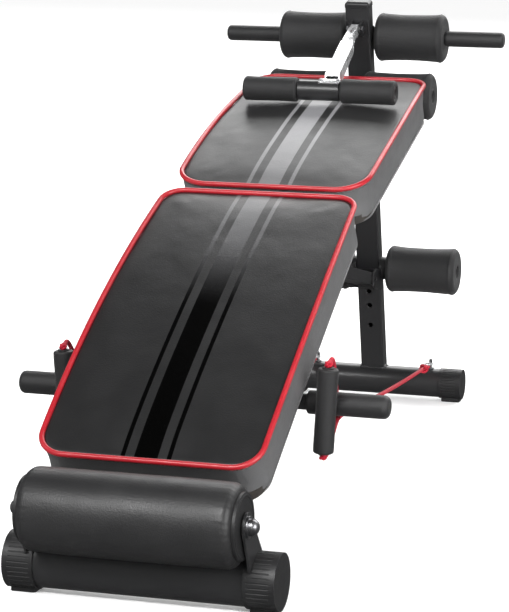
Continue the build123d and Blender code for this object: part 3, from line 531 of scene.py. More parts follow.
def foam_rubber(name, black, cell_scale, rough, spec):
    mat = Shader(name)
    cells = mat.voronoi(scale=cell_scale)
    fine = mat.noise(scale=cell_scale * 1.7)
    broad = mat.noise(scale=14, detail=4.0, rough=0.6)
    color = mat.mix(broad, tinted(black, factor=0.85), tinted(black, factor=1.25))
    # painted shade: the pits of the foam's cells are darkened towards a deeper black
    color = mat.mix(mat.ramp(cells, span=(0.05, 0.45), to=(0.35, 0.0)), color,
                    tinted(black, factor=0.4))
    fine_share = 0.6
    height = mat.plus(cells, mat.times(fine, fine_share))
    normal = mat.bump(height, strength=0.45, distance=0.0006)
    normal = mat.bump(broad, strength=0.25, distance=0.002, normal=normal)
    return mat.finish(color=color, rough=mat.spread(fine, *rough), normal=normal,
                      sheen=0.06, sheen_rough=0.4, spec=spec)


def leather(mat, grain, strength):
    """Grained surface: its normal, the grain's height, and a broad soft noise."""
    coarse_share, fine_share = 0.5, 0.35
    pebbles = mat.voronoi(scale=grain, feature="SMOOTH_F1")
    coarse = mat.voronoi(scale=grain * 0.47)
    fine = mat.noise(scale=grain * 3.0, detail=2.0)
    height = mat.plus(mat.times(pebbles, 1.0), mat.times(coarse, coarse_share))
    height = mat.plus(height, mat.times(fine, fine_share))
    soft = mat.noise(scale=22)
    normal = mat.bump(height, strength=strength, distance=0.0005)
    normal = mat.bump(soft, strength=0.18, distance=0.0025, normal=normal)
    return normal, height, soft


def striped_vinyl(name, base, rough, gloss_and_painted_sheen_depths, stripe, stripe_rough, stripe_spec):
    """Black grained vinyl with printed stripes whose colour is painted lighter along the pad.

    base is a pair of colours; stripe is the stripes' colours at the near and far depths, the
    far one lighter as a painted reflection; stripe_rough and stripe_spec are a number, or
    a pair that changes between gloss_and_painted_sheen_depths, mm behind the front crossbar."""
    edge_blur = 0.0006
    centre_half = 0.016                # the middle stripe, m
    outer_stripe = (0.0285, 0.0345)    # the narrow stripe on each side, m
    mat = Shader(name)
    normal, height, soft = leather(mat, grain=650, strength=0.28)
    color = mat.mix(soft, *base)
    color = mat.mix(mat.ramp(height, span=(0.2, 0.9), to=(0.0, 0.4)), color, grey(0.010))
    base_rough = mat.spread(soft, *rough)

    x, y = mat.axes(mat.coords)[:2]
    across = mat.calc("ABSOLUTE", x)

    def strip(inner, outer):
        inside = 1.0
        if inner > 0:
            inside = mat.ramp(across, span=(inner - edge_blur, inner + edge_blur))
        outside = mat.ramp(across, span=(outer - edge_blur, outer + edge_blur), to=(1.0, 0.0))
        return mat.times(inside, outside)

    mask = mat.calc("ADD", strip(0.0, centre_half), strip(*outer_stripe), clamp=True)
    # print only on the top, where the surface faces up
    facing = mat.axes(mat.texture.outputs["Normal"])[2]
    mask = mat.times(mask, mat.ramp(facing, span=(0.55, 0.70)))

    gloss_and_painted_sheen_span = [place(0, depth, 0).y for depth in gloss_and_painted_sheen_depths]

    def faded(value):
        return mat.ramp(y, span=gloss_and_painted_sheen_span, to=value) if isinstance(value, tuple) else value

    # painted reflection: the stripes' colour runs from the near colour to the lighter far
    # colour along the pad, standing in for the print catching more light towards the far end
    stripe_and_painted_sheen = mat.mix(mat.ramp(y, span=gloss_and_painted_sheen_span), *stripe)
    stripe_rough, stripe_spec = faded(stripe_rough), faded(stripe_spec)
    worn = mat.ramp(mat.noise(scale=300, detail=4.0), span=(0.30, 0.42), to=(0.95, 1.0))
    mask = mat.times(mask, worn)
    base_spec, base_coat = 0.48, 0.05
    return mat.finish(color=mat.mix(mask, color, stripe_and_painted_sheen),
                      rough=mat.mix_number(mask, base_rough, stripe_rough),
                      normal=normal,
                      spec=mat.mix_number(mask, base_spec, stripe_spec),
                      coat=mat.times(mat.calc("SUBTRACT", 1.0, mask), base_coat),
                      coat_rough=0.3)


def bolster_vinyl():
    mat = Shader("bolster_vinyl")
    normal, _, soft = leather(mat, grain=620, strength=0.34)
    color = mat.mix(soft, (0.0095, 0.0095, 0.0100), (0.0135, 0.0135, 0.014))
    wrinkles = mat.bands("X", Scale=2.0, Distortion=5.0, Detail=3.0)
    normal = mat.bump(wrinkles, strength=0.03, distance=0.0015, normal=normal)
    return mat.finish(color=color, rough=mat.spread(soft, low=0.42, high=0.50),
                      normal=normal, coat=0.08, coat_rough=0.4)


def side_vinyl():
    """Grey vinyl on the pads' sides."""
    mat = Shader("side_vinyl")
    normal, _, soft = leather(mat, grain=560, strength=0.3)
    color = mat.mix(soft, (0.072, 0.072, 0.073), (0.094, 0.094, 0.096))
    return mat.finish(color=color, rough=mat.spread(soft, low=0.38, high=0.48),
                      normal=normal, coat=0.1)


def red_piping():
    mat = Shader("red_piping")
    broad = mat.noise(scale=30)
    grain = mat.voronoi(scale=700)
    color = mat.mix(broad, (0.28, 0.006, 0.012), (0.36, 0.008, 0.016))
    blotches = mat.ramp(mat.noise(scale=180, detail=4.0), span=(0.55, 0.75), to=(0.0, 0.35))
    color = mat.mix(blotches, color, (0.20, 0.003, 0.007))
    return mat.finish(color=color, rough=mat.spread(broad, low=0.30, high=0.42),
                      normal=mat.bump(grain, strength=0.2, distance=0.0004),
                      coat=0.2, coat_rough=0.2)


def red_cord():
    """Braid: two sets of crossing bands."""
    mat = Shader("red_cord")
    weave = {"Scale": 260, "Distortion": 1.2}
    height = mat.calc("MAXIMUM", mat.bands("DIAGONAL", **weave),
                      mat.bands("Z", coords=mat.stretched(x=1, y=-1, z=1), **weave))
    # painted shade: the weave's grooves are darker red and its raised strands lighter
    color = mat.mix(height, (0.19, 0.003, 0.010), (0.41, 0.005, 0.022))
    return mat.finish(color=color, rough=0.6, spec=0.3,
                      normal=mat.bump(height, strength=0.6, distance=0.0006))


def chrome_plate():
    mat = Shader("chrome_plate")
    bevel = mat.bevel(radius=0.0009)
    broad = mat.noise(scale=40, detail=4.0)
    scratches = mat.noise(scale=1.0, detail=2.0, coords=mat.stretched(x=12, y=900, z=900))
    color = mat.mix(broad, (0.62, 0.63, 0.64), (0.76, 0.76, 0.77))
    stain = mat.ramp(mat.noise(scale=45, detail=4.0), span=(0.50, 0.75), to=(0.0, 0.22))
    color = mat.mix(stain, color, (0.34, 0.34, 0.35))
    return mat.finish(color=color, metal=0.72, spec=0.3,
                      rough=mat.spread(broad, low=0.20, high=0.34),
                      normal=mat.bump(scratches, strength=0.06, distance=0.0002, normal=bevel))


def zinc_plate():
    mat = Shader("zinc_plate")
    bevel = mat.bevel(radius=0.0007)
    spangle = mat.voronoi(scale=700)
    broad = mat.noise(scale=60, detail=4.0)
    color = mat.mix(spangle, (0.20, 0.20, 0.21), (0.34, 0.34, 0.35))
    return mat.finish(color=color, metal=1.0, rough=mat.spread(broad, low=0.24, high=0.40),
                      normal=mat.bump(spangle, strength=0.1, distance=0.0002, normal=bevel))


def plywood():
    mat = Shader("black_stained_plywood")
    grain = mat.noise(scale=1.0, detail=6.0, rough=0.65,
                      coords=mat.stretched(x=60, y=6, z=60))
    broad = mat.noise(scale=6)
    color = mat.mix(grain, (0.012, 0.010, 0.009), (0.030, 0.026, 0.022))
    color = mat.mix(mat.ramp(broad, span=(0.4, 0.7), to=(0, 0.35)), color,
                    (0.045, 0.036, 0.028))
    return mat.finish(color=color, rough=0.6,
                      normal=mat.bump(grain, strength=0.25, distance=0.0006))


def painted_weld():
    mat = Shader("painted_weld")
    fine = mat.noise(scale=700)
    broad = mat.noise(scale=60, detail=2.0)
    color = mat.mix(broad, (0.012, 0.012, 0.0125), (0.02, 0.02, 0.021))
    return mat.finish(color=color, rough=mat.spread(broad, low=0.30, high=0.42),
                      normal=mat.bump(fine, strength=0.3, distance=0.0005))


def stitch_thread():
    mat = Shader("stitch_thread")
    strands = mat.bands("DIAGONAL", Scale=700)
    # painted shade: the thread is darker between its twisted strands and lighter on them
    return mat.finish(color=mat.mix(strands, grey(0.02), grey(0.07)), rough=0.7,
                      normal=mat.bump(strands, strength=0.5, distance=0.0003))


MATERIALS = {
    "powder_coat": powder_coat(),
    "black_plastic": black_plastic(),
    "pad_vinyl": striped_vinyl(
        "back_pad_vinyl", base=((0.0095, 0.0095, 0.010), (0.013, 0.013, 0.0135)),
        rough=(0.31, 0.38), gloss_and_painted_sheen_depths=(255, 500),
        # painted reflection: the stripes run from near black at the near end to grey at the far
        # end
        stripe=(grey(0.0008), (0.085, 0.085, 0.088)),
        stripe_rough=(0.22, 0.36), stripe_spec=(0.04, 0.5)),
    # partly painted light: the seat's base and stripes are set lighter than the back pad's,
    # painted sheen for the brighter light on the seat, and the stripes are painted lighter
    # again towards the far end
    "seat_vinyl": striped_vinyl(
        "seat_pad_vinyl", base=((0.020, 0.020, 0.0205), (0.027, 0.027, 0.0275)),
        rough=(0.42, 0.48), gloss_and_painted_sheen_depths=(560, 900),
        stripe=((0.10, 0.10, 0.103), (0.24, 0.24, 0.25)),
        stripe_rough=0.36, stripe_spec=0.5),
    "side_vinyl": side_vinyl(),
    "bolster_vinyl": bolster_vinyl(),
    "piping": red_piping(),
    "plywood": plywood(),
    "foam": foam_rubber("roller_foam", black=(0.0125, 0.0125, 0.013), cell_scale=1100,
                        rough=(0.55, 0.68), spec=0.4),
    "grip_foam": foam_rubber("grip_foam", black=(0.011, 0.011, 0.0115), cell_scale=1400,
                             rough=(0.44, 0.56), spec=0.45),
    "chrome": chrome_plate(),
    "zinc": zinc_plate(),
    "cord": red_cord(),
    "weld": painted_weld(),
    "thread": stitch_thread(),
}


def dress_cad():
    """Give every CAD piece the material of its slot."""
    for subpart in frame["record"]["subparts"]:
        ob = NODES[subpart["node"]]
        material = MATERIALS[subpart["material_slot"]]
        if len(ob.material_slots) == 0:
            ob.data.materials.append(material)
        for slot in ob.material_slots:
            slot.material = material


dress_cad()


# ------------------------------------------------------------------ pad covers
COVER_STEP = 9.0        # spacing round the starting shell, mm
VOXEL = 0.0055    # m
PUFF_FRAMES = 20
PUFF_LIMIT = 0.010      # furthest the cloth may swell, m
CLOTH = {
    "use_pressure": True, "uniform_pressure_force": 4.0, "vertex_group_mass": "pin",
    "tension_stiffness": 40, "compression_stiffness": 40, "shear_stiffness": 20,
    "bending_stiffness": 3, "quality": 5,
}
# heights in the pad's own z, mm
WELT_Z = -5.2           # the top panel's height at the piping
TOP_FLOOR = -6.5        # points that start above this belong to the top panel
SIDE_INSET = 9.0        # points this near the outline may belong to the sides


class Rim:
    """Nearest-point lookup on a pad's flat outline, mm."""

    def __init__(self, pad):
        outline = np.array(pad.outline(0.0, 6.0))
        self.points, self.out = outline[:, :2], outline[:, 2:]

    def nearest(self, flat):
        block = 2000    # points at a time, to limit memory
        found = []
        for i in range(0, len(flat), block):
            gaps = flat[i:i + block, None, :] - self.points[None]
            found.append((gaps ** 2).sum(2).argmin(1))
        return np.concatenate(found)

    def inset(self, flat):
        """How far each point lies inside the outline."""
        near = self.nearest(flat)
        return -((flat - self.points[near]) * self.out[near]).sum(1)


def read_points(mesh):
    flat = np.zeros(len(mesh.vertices) * 3)
    mesh.vertices.foreach_get("co", flat)
    return flat.reshape(-1, 3)


def cover_shell(pad):
    """Flat box with a stepped shoulder, as verts (m) and faces."""
    under = -(pad.foam + 11.0)
    # inset and height of each ring, from underneath round to the top
    rings = ((9.0, under), (4.6, under), (4.2, under + 3), (4.0, -40), (4.2, -12),
             (4.6, -8.5), (6.5, -5.6), (10.5, -4.2), (18.0, -3.0))
    verts = []
    for inset, z in rings:
        verts += [(x / 1000, y / 1000, z / 1000)
                  for x, y, _, _ in pad.outline(inset, COVER_STEP)]
    per_ring = len(verts) // len(rings)
    faces = ring_faces(len(rings), per_ring, closed=False)
    faces.append(tuple(range(len(verts) - per_ring, len(verts))))
    faces.append(tuple(reversed(range(per_ring))))
    return verts, faces


def apply_remesh(ob):
    modifier = ob.modifiers.new("remesh", "REMESH")
    modifier.mode = "VOXEL"
    modifier.voxel_size = VOXEL
    modifier.adaptivity = 0.0
    depsgraph = bpy.context.evaluated_depsgraph_get()
    mesh = bpy.data.meshes.new_from_object(ob.evaluated_get(depsgraph))
    ob.modifiers.clear()
    ob.data = mesh


def puff(ob, rest, held):
    """Swell ob like a stuffed cover under pressure, keeping the held points still."""
    group = ob.vertex_groups.new(name="pin")
    group.add([int(i) for i in np.nonzero(held)[0]], 1.0, "REPLACE")
    cloth = ob.modifiers.new("cloth", "CLOTH")
    for key, value in CLOTH.items():
        setattr(cloth.settings, key, value)
    cloth.settings.effector_weights.gravity = 0
    cloth.collision_settings.use_collision = False
    cloth.point_cache.frame_start, cloth.point_cache.frame_end = 1, PUFF_FRAMES
    scene.frame_start, scene.frame_end = 1, PUFF_FRAMES
    for i in range(1, PUFF_FRAMES + 1):
        scene.frame_set(i)
    depsgraph = bpy.context.evaluated_depsgraph_get()
    move = read_points(ob.evaluated_get(depsgraph).to_mesh()) - rest
    ob.modifiers.clear()
    length = np.linalg.norm(move, axis=1, keepdims=True)
    move *= np.minimum(1.0, PUFF_LIMIT / np.maximum(length, 1e-9))
    scene.frame_set(1)
    ob.vertex_groups.clear()
    return rest + move


def stuffed(ob, rest, inset):
    """The cover's points after stuffing, m."""
    # held at the board's rim and along the sewn-in piping
    held = (rest[:, 2] < -0.050) | ((inset < 9.0) & (rest[:, 2] > -0.016))
    points = puff(ob, rest, held)
    # the fabric moves outwards from the pad, hardly along it
    fade = np.clip((inset - 8.0) / 24.0, 0, 1)[:, None]
    points[:, :2] = rest[:, :2] + (points[:, :2] - rest[:, :2]) * 0.35 * fade
    return points


def crown_heights(points, rest, inset):
    """Soft crown of the stuffing under the top panel."""
    inward = np.clip(inset - 5.0, 0, None)
    lift = np.clip(points[:, 2] - rest[:, 2], 0, 10)
    typical = max(1e-6, float(np.percentile(lift[rest[:, 2] > -9.5], 98)))
    swell = np.clip(lift / typical, 0, 1.0)
    return WELT_Z + 4.75 * (0.45 * (1 - np.exp(-inward / 18.0)) + 0.55 * swell)


def roughen_top(pad, points, top, inset, seed):
    """Uneven foam under the top panel, and puckers at its corners."""
    half = pad.length / 2
    corners = []
    for side in (-1, 1):
        for end, radius in ((-1, pad.near_radius), (1, pad.far_radius)):
            centre_y = end * (half - radius)
            corners.append((side, end, radius,
                            side * (pad.half_width(centre_y) - radius), centre_y))
    for i in np.nonzero(top)[0]:
        x, y, z = points[i]
        broad = noise.noise(Vector((x / 55.0 + seed, y / 70.0, seed * 0.7)))
        small = noise.noise(Vector((x / 17.0, y / 21.0 + seed, 3.1)))
        fade = min(1.0, max(0.0, (inset[i] - 6) / 30.0))
        points[i, 2] = min(z + (broad * 0.55 + small * 0.18) * fade - 0.35 * fade, -0.42)
        for side, end, radius, centre_x, centre_y in corners:
            out_x, out_y = x - centre_x, y - centre_y
            angle = math.atan2(out_y * end, out_x * side)
            reach = math.hypot(out_x, out_y)
            if reach < radius and 0 < angle < math.pi / 2:
                depth = (reach / radius) ** 3 * math.sin(2 * angle)
                points[i, 2] -= 0.55 * depth * (0.5 + 0.5 * math.sin(angle * 34 + seed))


def tuck_sides(pad, points, side, rim):
    """Pull the sides in a little at mid height."""
    chosen = np.nonzero(side)[0]
    flat = points[chosen, :2]
    drop = np.clip((-points[chosen, 2] - 8) / (pad.foam + 2.0), 0, 1)
    wanted = 3.6 + 1.6 * np.sin(drop * math.pi) ** 2
    pull = np.clip(wanted - rim.inset(flat), -2.0, 4.0)
    points[chosen, :2] = flat - rim.out[rim.nearest(flat)] * pull[:, None]


def build_cover(name, pad, vinyl, seed):
    """Stuffed cover over the board: crowned top, tucked sides."""
    ob = add_mesh(f"{name}_cover", cover_shell(pad), vinyl)
    rim = Rim(pad)
    apply_remesh(ob)
    mesh = ob.data
    rest_m = read_points(mesh)
    rest = rest_m * 1000.0
    inset = rim.inset(rest[:, :2])
    points = stuffed(ob, rest_m, inset) * 1000.0

    top = rest[:, 2] > TOP_FLOOR
    points[top, 2] = np.minimum(crown_heights(points, rest, inset)[top], -0.45)
    roughen_top(pad, points, top, inset, seed)
    tuck_sides(pad, points, ~top & (inset < SIDE_INSET), rim)
    bent = np.array([pad.bend(*p) for p in points], np.float32)
    mesh.vertices.foreach_set("co", bent.ravel())
    mesh.update()

    # side panels below the piping get the grey vinyl
    mesh.materials.clear()
    mesh.materials.append(MATERIALS[vinyl])
    mesh.materials.append(MATERIALS["side_vinyl"])
    for polygon in mesh.polygons:
        count = len(polygon.vertices)
        height = sum(points[v, 2] for v in polygon.vertices) / count
        inward = sum(inset[v] for v in polygon.vertices) / count
        polygon.use_smooth = True
        polygon.material_index = 1 if (height < -6.6 and inward < 9.5) else 0
    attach(ob, "frame")
    subdivision = ob.modifiers.new("sub", "SUBSURF")
    subdivision.levels = 1
    subdivision.render_levels = 1
    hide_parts(name)


# ------------------------------------------------------------------ pad trim
PIPING_INSET, PIPING_Z, PIPING_RADIUS = 3.35, -4.25, 3.8
# the flange's section: inset from the piping's line, height
FLANGE_SECTION = ((-0.4, -6.6), (-1.0, -8.3), (0.8, -8.5), (2.0, -6.4))
STITCH_INSET, STITCH_Z, STITCH_PITCH = 3.9, -11.0, 6.0
STITCH_LENGTH, STITCH_RADIUS = 3.8, 0.42
STAPLE_INSET, STAPLE_PITCH, STAPLE_RADIUS = 17.0, 26.0, 0.45
STAPLE_TURN = 0.35      # every other staple is turned by this, radians
# a staple's wire: along its crown, height below the board
STAPLE_WIRE = ((-5.5, -0.2), (-5.4, -1.55), (-4.6, -1.9),
               (4.6, -1.9), (5.4, -1.55), (5.5, -0.2))


def build_piping(name, pad, replaced, seed):
    outline = pad.outline(PIPING_INSET, 3.0)

    def scale(i):
        _, _, out_x, out_y = outline[i]
        curved = 1.0 if (abs(out_x) > 0.2 and abs(out_y) > 0.2) else 0.0
        return 1.0 + 0.012 * math.sin(i * 1.7 + seed) + curved * 0.03 * math.sin(i * 2.9)

    path = [pad.bend(x, y, PIPING_Z) for x, y, _, _ in outline]
    add_mesh(f"{name}_piping", tube(path, PIPING_RADIUS, 16, closed=True, scale=scale),
             "piping", "frame", replaced)
    # the flange, sewn in between top and side
    verts = [pad.bend(x - out_x * inset, y - out_y * inset, z)
             for x, y, out_x, out_y in outline for inset, z in FLANGE_SECTION]
    faces = ring_faces(len(outline), len(FLANGE_SECTION), closed=True)
    add_mesh(f"{name}_piping_flange", (verts, faces), "piping", "frame")


def build_stitches(name, pad):
    parts = []
    for x, y, out_x, out_y in pad.outline(STITCH_INSET, STITCH_PITCH):
        along_x, along_y = -out_y, out_x
        start, end = (pad.bend(x + sign * along_x * STITCH_LENGTH / 2,
                               y + sign * along_y * STITCH_LENGTH / 2, STITCH_Z)
                      for sign in (-1, 1))
        path = [start, start.lerp(end, 0.33), start.lerp(end, 0.66), end]
        parts.append(tube(path, STITCH_RADIUS, 6, scale=lambda i: 0.75 if i in (0, 3) else 1.0))
    add_mesh(f"{name}_stitches", joined(parts), "thread", "frame")


def build_wrap(name, pad, seed):
    """The cover's margin, pulled round the board's rim and stapled."""
    under = -(pad.foam + 12.0)
    outline = pad.outline(0.0, 4.0)
    verts = []
    for i, (x, y, out_x, out_y) in enumerate(outline):
        wobble = 2.2 * noise.noise(Vector((i * 0.21, seed, 0.0)))
        fold = 0.35 * math.sin(i * 1.9 + seed) + 0.3 * math.sin(i * 0.77)
        # inset, height above the board's underside
        section = ((3.7, 1.6), (3.9, -0.7), (6.5, -1.25 - 0.2 * fold),
                   (15.0, -1.05 - 0.25 * abs(fold)), (24.0 + wobble, -1.0 - 0.2 * abs(fold)),
                   (24.4 + wobble, -0.05), (8.0, -0.05), (6.8, 1.6))
        for inset, rise in section:
            verts.append(pad.bend(x - out_x * inset, y - out_y * inset, under + rise))
    faces = ring_faces(len(outline), len(section), closed=True)
    add_mesh(f"{name}_wrap", (verts, faces), "side_vinyl", "frame")

    parts = []
    cos_turn, sin_turn = math.cos(STAPLE_TURN), math.sin(STAPLE_TURN)
    for i, (x, y, out_x, out_y) in enumerate(pad.outline(STAPLE_INSET, STAPLE_PITCH)):
        along_x, along_y = -out_y, out_x
        if i % 2:
            along_x, along_y = (along_x * cos_turn - along_y * sin_turn,
                                along_x * sin_turn + along_y * cos_turn)
        wire = [pad.bend(x + along_x * reach, y + along_y * reach, under + rise)
                for reach, rise in STAPLE_WIRE]
        parts.append(tube(wire, STAPLE_RADIUS, 6))
    add_mesh(f"{name}_wrap_staples", joined(parts), "zinc", "frame")


# which pad, shape, top vinyl, seeds of the cover and of the trim
PADS = (("back", BACK_PAD, "pad_vinyl", 1.3, 0.4), ("seat", SEAT_PAD, "seat_vinyl", 4.1, 2.2))
for which, pad, vinyl, cover_seed, _ in PADS:
    build_cover(f"{which}_pad", pad, vinyl, cover_seed)
for which, pad, _, _, trim_seed in PADS:
    build_piping(f"{which}_pad", pad, f"{which}_piping", trim_seed)
    build_stitches(f"{which}_pad", pad)
    build_wrap(f"{which}_pad", pad, trim_seed)


# ------------------------------------------------------------------ bolster
BOLSTER_STEPS = 46
BOLSTER_ROUND = 13.0           # radius of the rounded ends, mm
BOLSTER_BORE = 22.1
BOLSTER_SEAM = math.radians(-50)    # the lengthwise seam, at the rear and underneath


def build_bolster():
    centre, low, high = measure("bolster_cover")
    half = (high.x - low.x) * 500
    outer = (high.y - low.y) * 500

    def skin_radius(along):
        return outer - 0.25 - 0.9 * (along / half) ** 6

    straight = half - BOLSTER_ROUND
    skin = []
    for i in range(BOLSTER_STEPS + 1):
        along = -half + BOLSTER_ROUND + (2 * half - 2 * BOLSTER_ROUND) * i / BOLSTER_STEPS
        skin.append((along, skin_radius(along)))
    face = skin_radius(straight) - BOLSTER_ROUND
    right = arc(straight, face, BOLSTER_ROUND, 90, 0, 12)
    left = arc(-straight, face, BOLSTER_ROUND, 180, 90, 12)
    # end panels run in to the core, with a shallow seam
    right_end = [(half, face - 1.0), (half - 0.7, face - 2.4), (half, face - 4.0),
                 (half - 0.05, 34), (half - 0.05, 23.5), (half - 1.5, BOLSTER_BORE)]
    left_end = [(-along, radius) for along, radius in reversed(right_end)]
    bore = [(along, BOLSTER_BORE) for along in (half - 30, 0, -half + 30)]
    profile = skin + right[1:] + right_end + bore + left_end + left[:-1]

    def warp(along, radius, angle):
        if radius > outer - 12:
            near_end = max(0.0, (abs(along) - (half - 42)) / 42)
            phase = 0.8 if along > 0 else 0
            pucker = near_end ** 2.2 * (0.20 * math.sin(angle * 41 + phase)
                                        + 0.14 * math.sin(angle * 23 + 1.1))
            lumps = 0.40 * noise.noise(Vector((along / 60, math.cos(angle) * 1.6,
                                               math.sin(angle) * 1.6)))
            from_seam = math.atan2(math.sin(angle - BOLSTER_SEAM),
                                   math.cos(angle - BOLSTER_SEAM))
            seam = -1.1 * math.exp(-(from_seam / 0.022) ** 2)
            radius = min(radius + pucker + lumps - 0.45 + seam, outer - 0.02)
        return along, radius

    add_mesh("bolster_skin", lathe(profile, centre, 160, warp=warp),
             "bolster_vinyl", "bolster", "bolster_cover")

    # raised rings on the end discs
    core_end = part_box("bolster_core")[1].x * 1000
    # face, rise, four radii from outside in, segments
    rings = ((core_end - 1.8, 0.35, (41.5, 41.0, 38.0, 37.5), 96),
             (core_end, 0.3, (13.0, 12.6, 9.0, 8.5), 64))
    parts = []
    for side in (-1, 1):
        for disc, rise, radii, segments in rings:
            stations = (disc - 0.5, disc + rise, disc + rise, disc - 0.5)
            profile = [(side * along, radius) for along, radius in zip(stations, radii)]
            parts.append(lathe(profile, Vector((0, centre.y, centre.z)), segments))
    add_mesh("bolster_disc_rings", joined(parts), "black_plastic", "bolster")


build_bolster()


# ------------------------------------------------------------------ foam rollers
ROLLER_BORE = 9.6
ROLLER_STEPS = 40
PLUG_RADIUS = 9.3
# how far out of the bar's end, radius: a domed tube plug with a shallow recess
PLUG_PROFILE = ((0.0, 0.0), (0.0, PLUG_RADIUS * 0.45), (0.5, PLUG_RADIUS * 0.55),
                (1.6, PLUG_RADIUS * 0.72), (1.9, PLUG_RADIUS * 0.85),
                (1.3, PLUG_RADIUS * 0.97), (-0.2, PLUG_RADIUS), (-6.0, PLUG_RADIUS - 0.4),
                (-6.0, 0.0))
PLUG_GAP = 0.0002    # m


def name_seed(name):
    value = 7
    for letter in name:
        value = (value * 31 + ord(letter)) % 1009
    return value / 97.0


def build_roller(node, waist, rounding, segments):
    """Foam tube with rounded ends, thinner by waist at its middle."""
    centre, low, high = measure(node)
    left, right = low.x * 1000, high.x * 1000
    outer = (high.z - low.z) * 500
    rim = outer - 0.35
    seed = name_seed(node)
    middle, length = (left + right) / 2, right - left
    skin = []
    for i in range(ROLLER_STEPS + 1):
        along = left + rounding + (length - 2 * rounding) * i / ROLLER_STEPS
        u = (along - middle) / (length / 2)
        skin.append((along, rim - waist * (1 - abs(u) ** 2.2)))
    right_arc = arc(right - rounding, rim - rounding, rounding, 90, 8, 10)
    left_arc = arc(left + rounding, rim - rounding, rounding, 172, 90, 10)
    # distance in from the end, radius
    end_face = [(0.05, rim - rounding * 1.1), (0.35, (outer + ROLLER_BORE) / 2),
                (0.1, ROLLER_BORE + 4.0), (0.5, ROLLER_BORE + 1.2), (2.2, ROLLER_BORE)]
    profile = (skin + right_arc[1:] + [(right - inward, r) for inward, r in end_face]
               + [(middle, ROLLER_BORE)]
               + [(left + inward, r) for inward, r in reversed(end_face)] + left_arc[:-1])

    def warp(along, radius, angle):
        if radius > ROLLER_BORE + 3:
            y, z = math.cos(angle), math.sin(angle)
            broad = noise.noise(Vector((along / 34 + seed, y * 1.4, z * 1.4)))
            small = noise.noise(Vector((along / 9, y * 5, z * 5 + seed)))
            radius = min(radius + 0.34 * broad + 0.12 * small, outer - 0.02)
        return min(max(along, left), right), radius

    mesh_data = lathe(profile, Vector((0, centre.y, centre.z)), segments, warp=warp)
    add_mesh(f"{node}_foam", mesh_data, "foam", node, node)


def build_plugs(name, bar, body):
    centre, low, high = measure(bar)
    parts = []
    for side, x in ((1, high.x + PLUG_GAP), (-1, low.x - PLUG_GAP)):
        profile = [(side * out, radius) for out, radius in PLUG_PROFILE]
        parts.append(lathe(profile, Vector((x, centre.y, centre.z)), 40, closed=False))
    add_mesh(name, joined(parts), "black_plastic", body)


for roller, waist, rounding, segments in (("t_roller", 2.6, 9.5, 84),
                                          ("foot_roller", 2.6, 9.5, 84),
                                          ("seat_roller", 2.6, 9.5, 84),
                                          ("knee_roller", 0.5, 5.0, 64)):
    for side_name, _ in SIDES:
        build_roller(f"{roller}_{side_name}", waist, rounding, segments)
build_plugs("foot_plugs", "foot_bar", "upright")
build_plugs("seat_roller_plugs", "seat_roller_bar", "frame")
build_plugs("knee_bar_plugs", "knee_bar", "knee_arm")


# ------------------------------------------------------------------ foam grips on bars
GRIP_STEPS = 26
GRIP_TIP_STEPS = 8


def build_end_grips(node, bore, tip, name, body):
    """A pair of foam sleeves with closed outer ends, rounded by the radius tip."""
    centre, low, high = measure(node)
    end = high.x * 1000
    outer = (high.z - low.z) * 500
    inner_end = min(abs(v.co.x) for v in NODES[node].data.vertices) * 1000
    profile = [(end - 5.2, 0.0), (end - 5.2, bore), (inner_end, bore),
               (inner_end, outer - 1.8), (inner_end + 0.6, outer - 0.7),
               (inner_end + 2.0, outer - 0.1)]
    for i in range(1, GRIP_STEPS + 1):
        along = inner_end + 2 + (end - tip - inner_end - 2) * i / GRIP_STEPS
        profile.append((along, outer - 0.1))
    for i in range(1, GRIP_TIP_STEPS + 1):
        angle = math.radians(90 * i / GRIP_TIP_STEPS)
        profile.append((end - tip + tip * math.sin(angle),
                        outer - 0.1 - tip * (1 - math.cos(angle))))
    profile += [(end - 0.6, (outer - tip) * 0.55), (end - 1.0, 0.0)]

    def warp(along, radius, angle):
        if radius > bore + 1:
            radius = radius + 0.10 * noise.noise(Vector((along / 12, math.cos(angle) * 3,
                                                         math.sin(angle) * 3)))
        return along, radius

    parts = [lathe([(side * along, radius) for along, radius in profile],
                   Vector((0, centre.y, centre.z)), 64, closed=False, warp=warp)
             for side in (-1, 1)]
    add_mesh(name, joined(parts), "grip_foam", body, node)


build_end_grips("push_up_grips", bore=11.1, tip=8.0, name="push_up_grip_foam", body="frame")
build_end_grips("t_bar_grips", bore=9.6, tip=6.0, name="t_bar_grip_foam", body="upright")


# ------------------------------------------------------------------ pull handles and cords
CORD_RADIUS = 3.2
CORD_SEGMENTS = 14
HANDLE_LEAN = math.radians(3.2)     # the grips' tops lean outwards
HANDLE_HALF = 117.0 / 2
HANDLE_RADIUS = 14.2
HANDLE_STEPS = 30
JUNCTION = (180.0, 291.0, 193.0)    # where a handle's cord ends meet: x, depth, z
ELASTIC_SAG = 0.004                 # m
ELASTIC_STEPS = 60


def trefoil(count, radius, lobe, rise):
    """Knot path as two offsets across the cord and one along it, m."""
    points = []
    for i in range(count):
        angle = 2 * math.pi * i / count
        swell = 1 + lobe * math.cos(3 * angle)
        points.append((radius * math.cos(2 * angle) * swell,
                       radius * math.sin(2 * angle) * swell, rise * math.sin(3 * angle)))
    return points


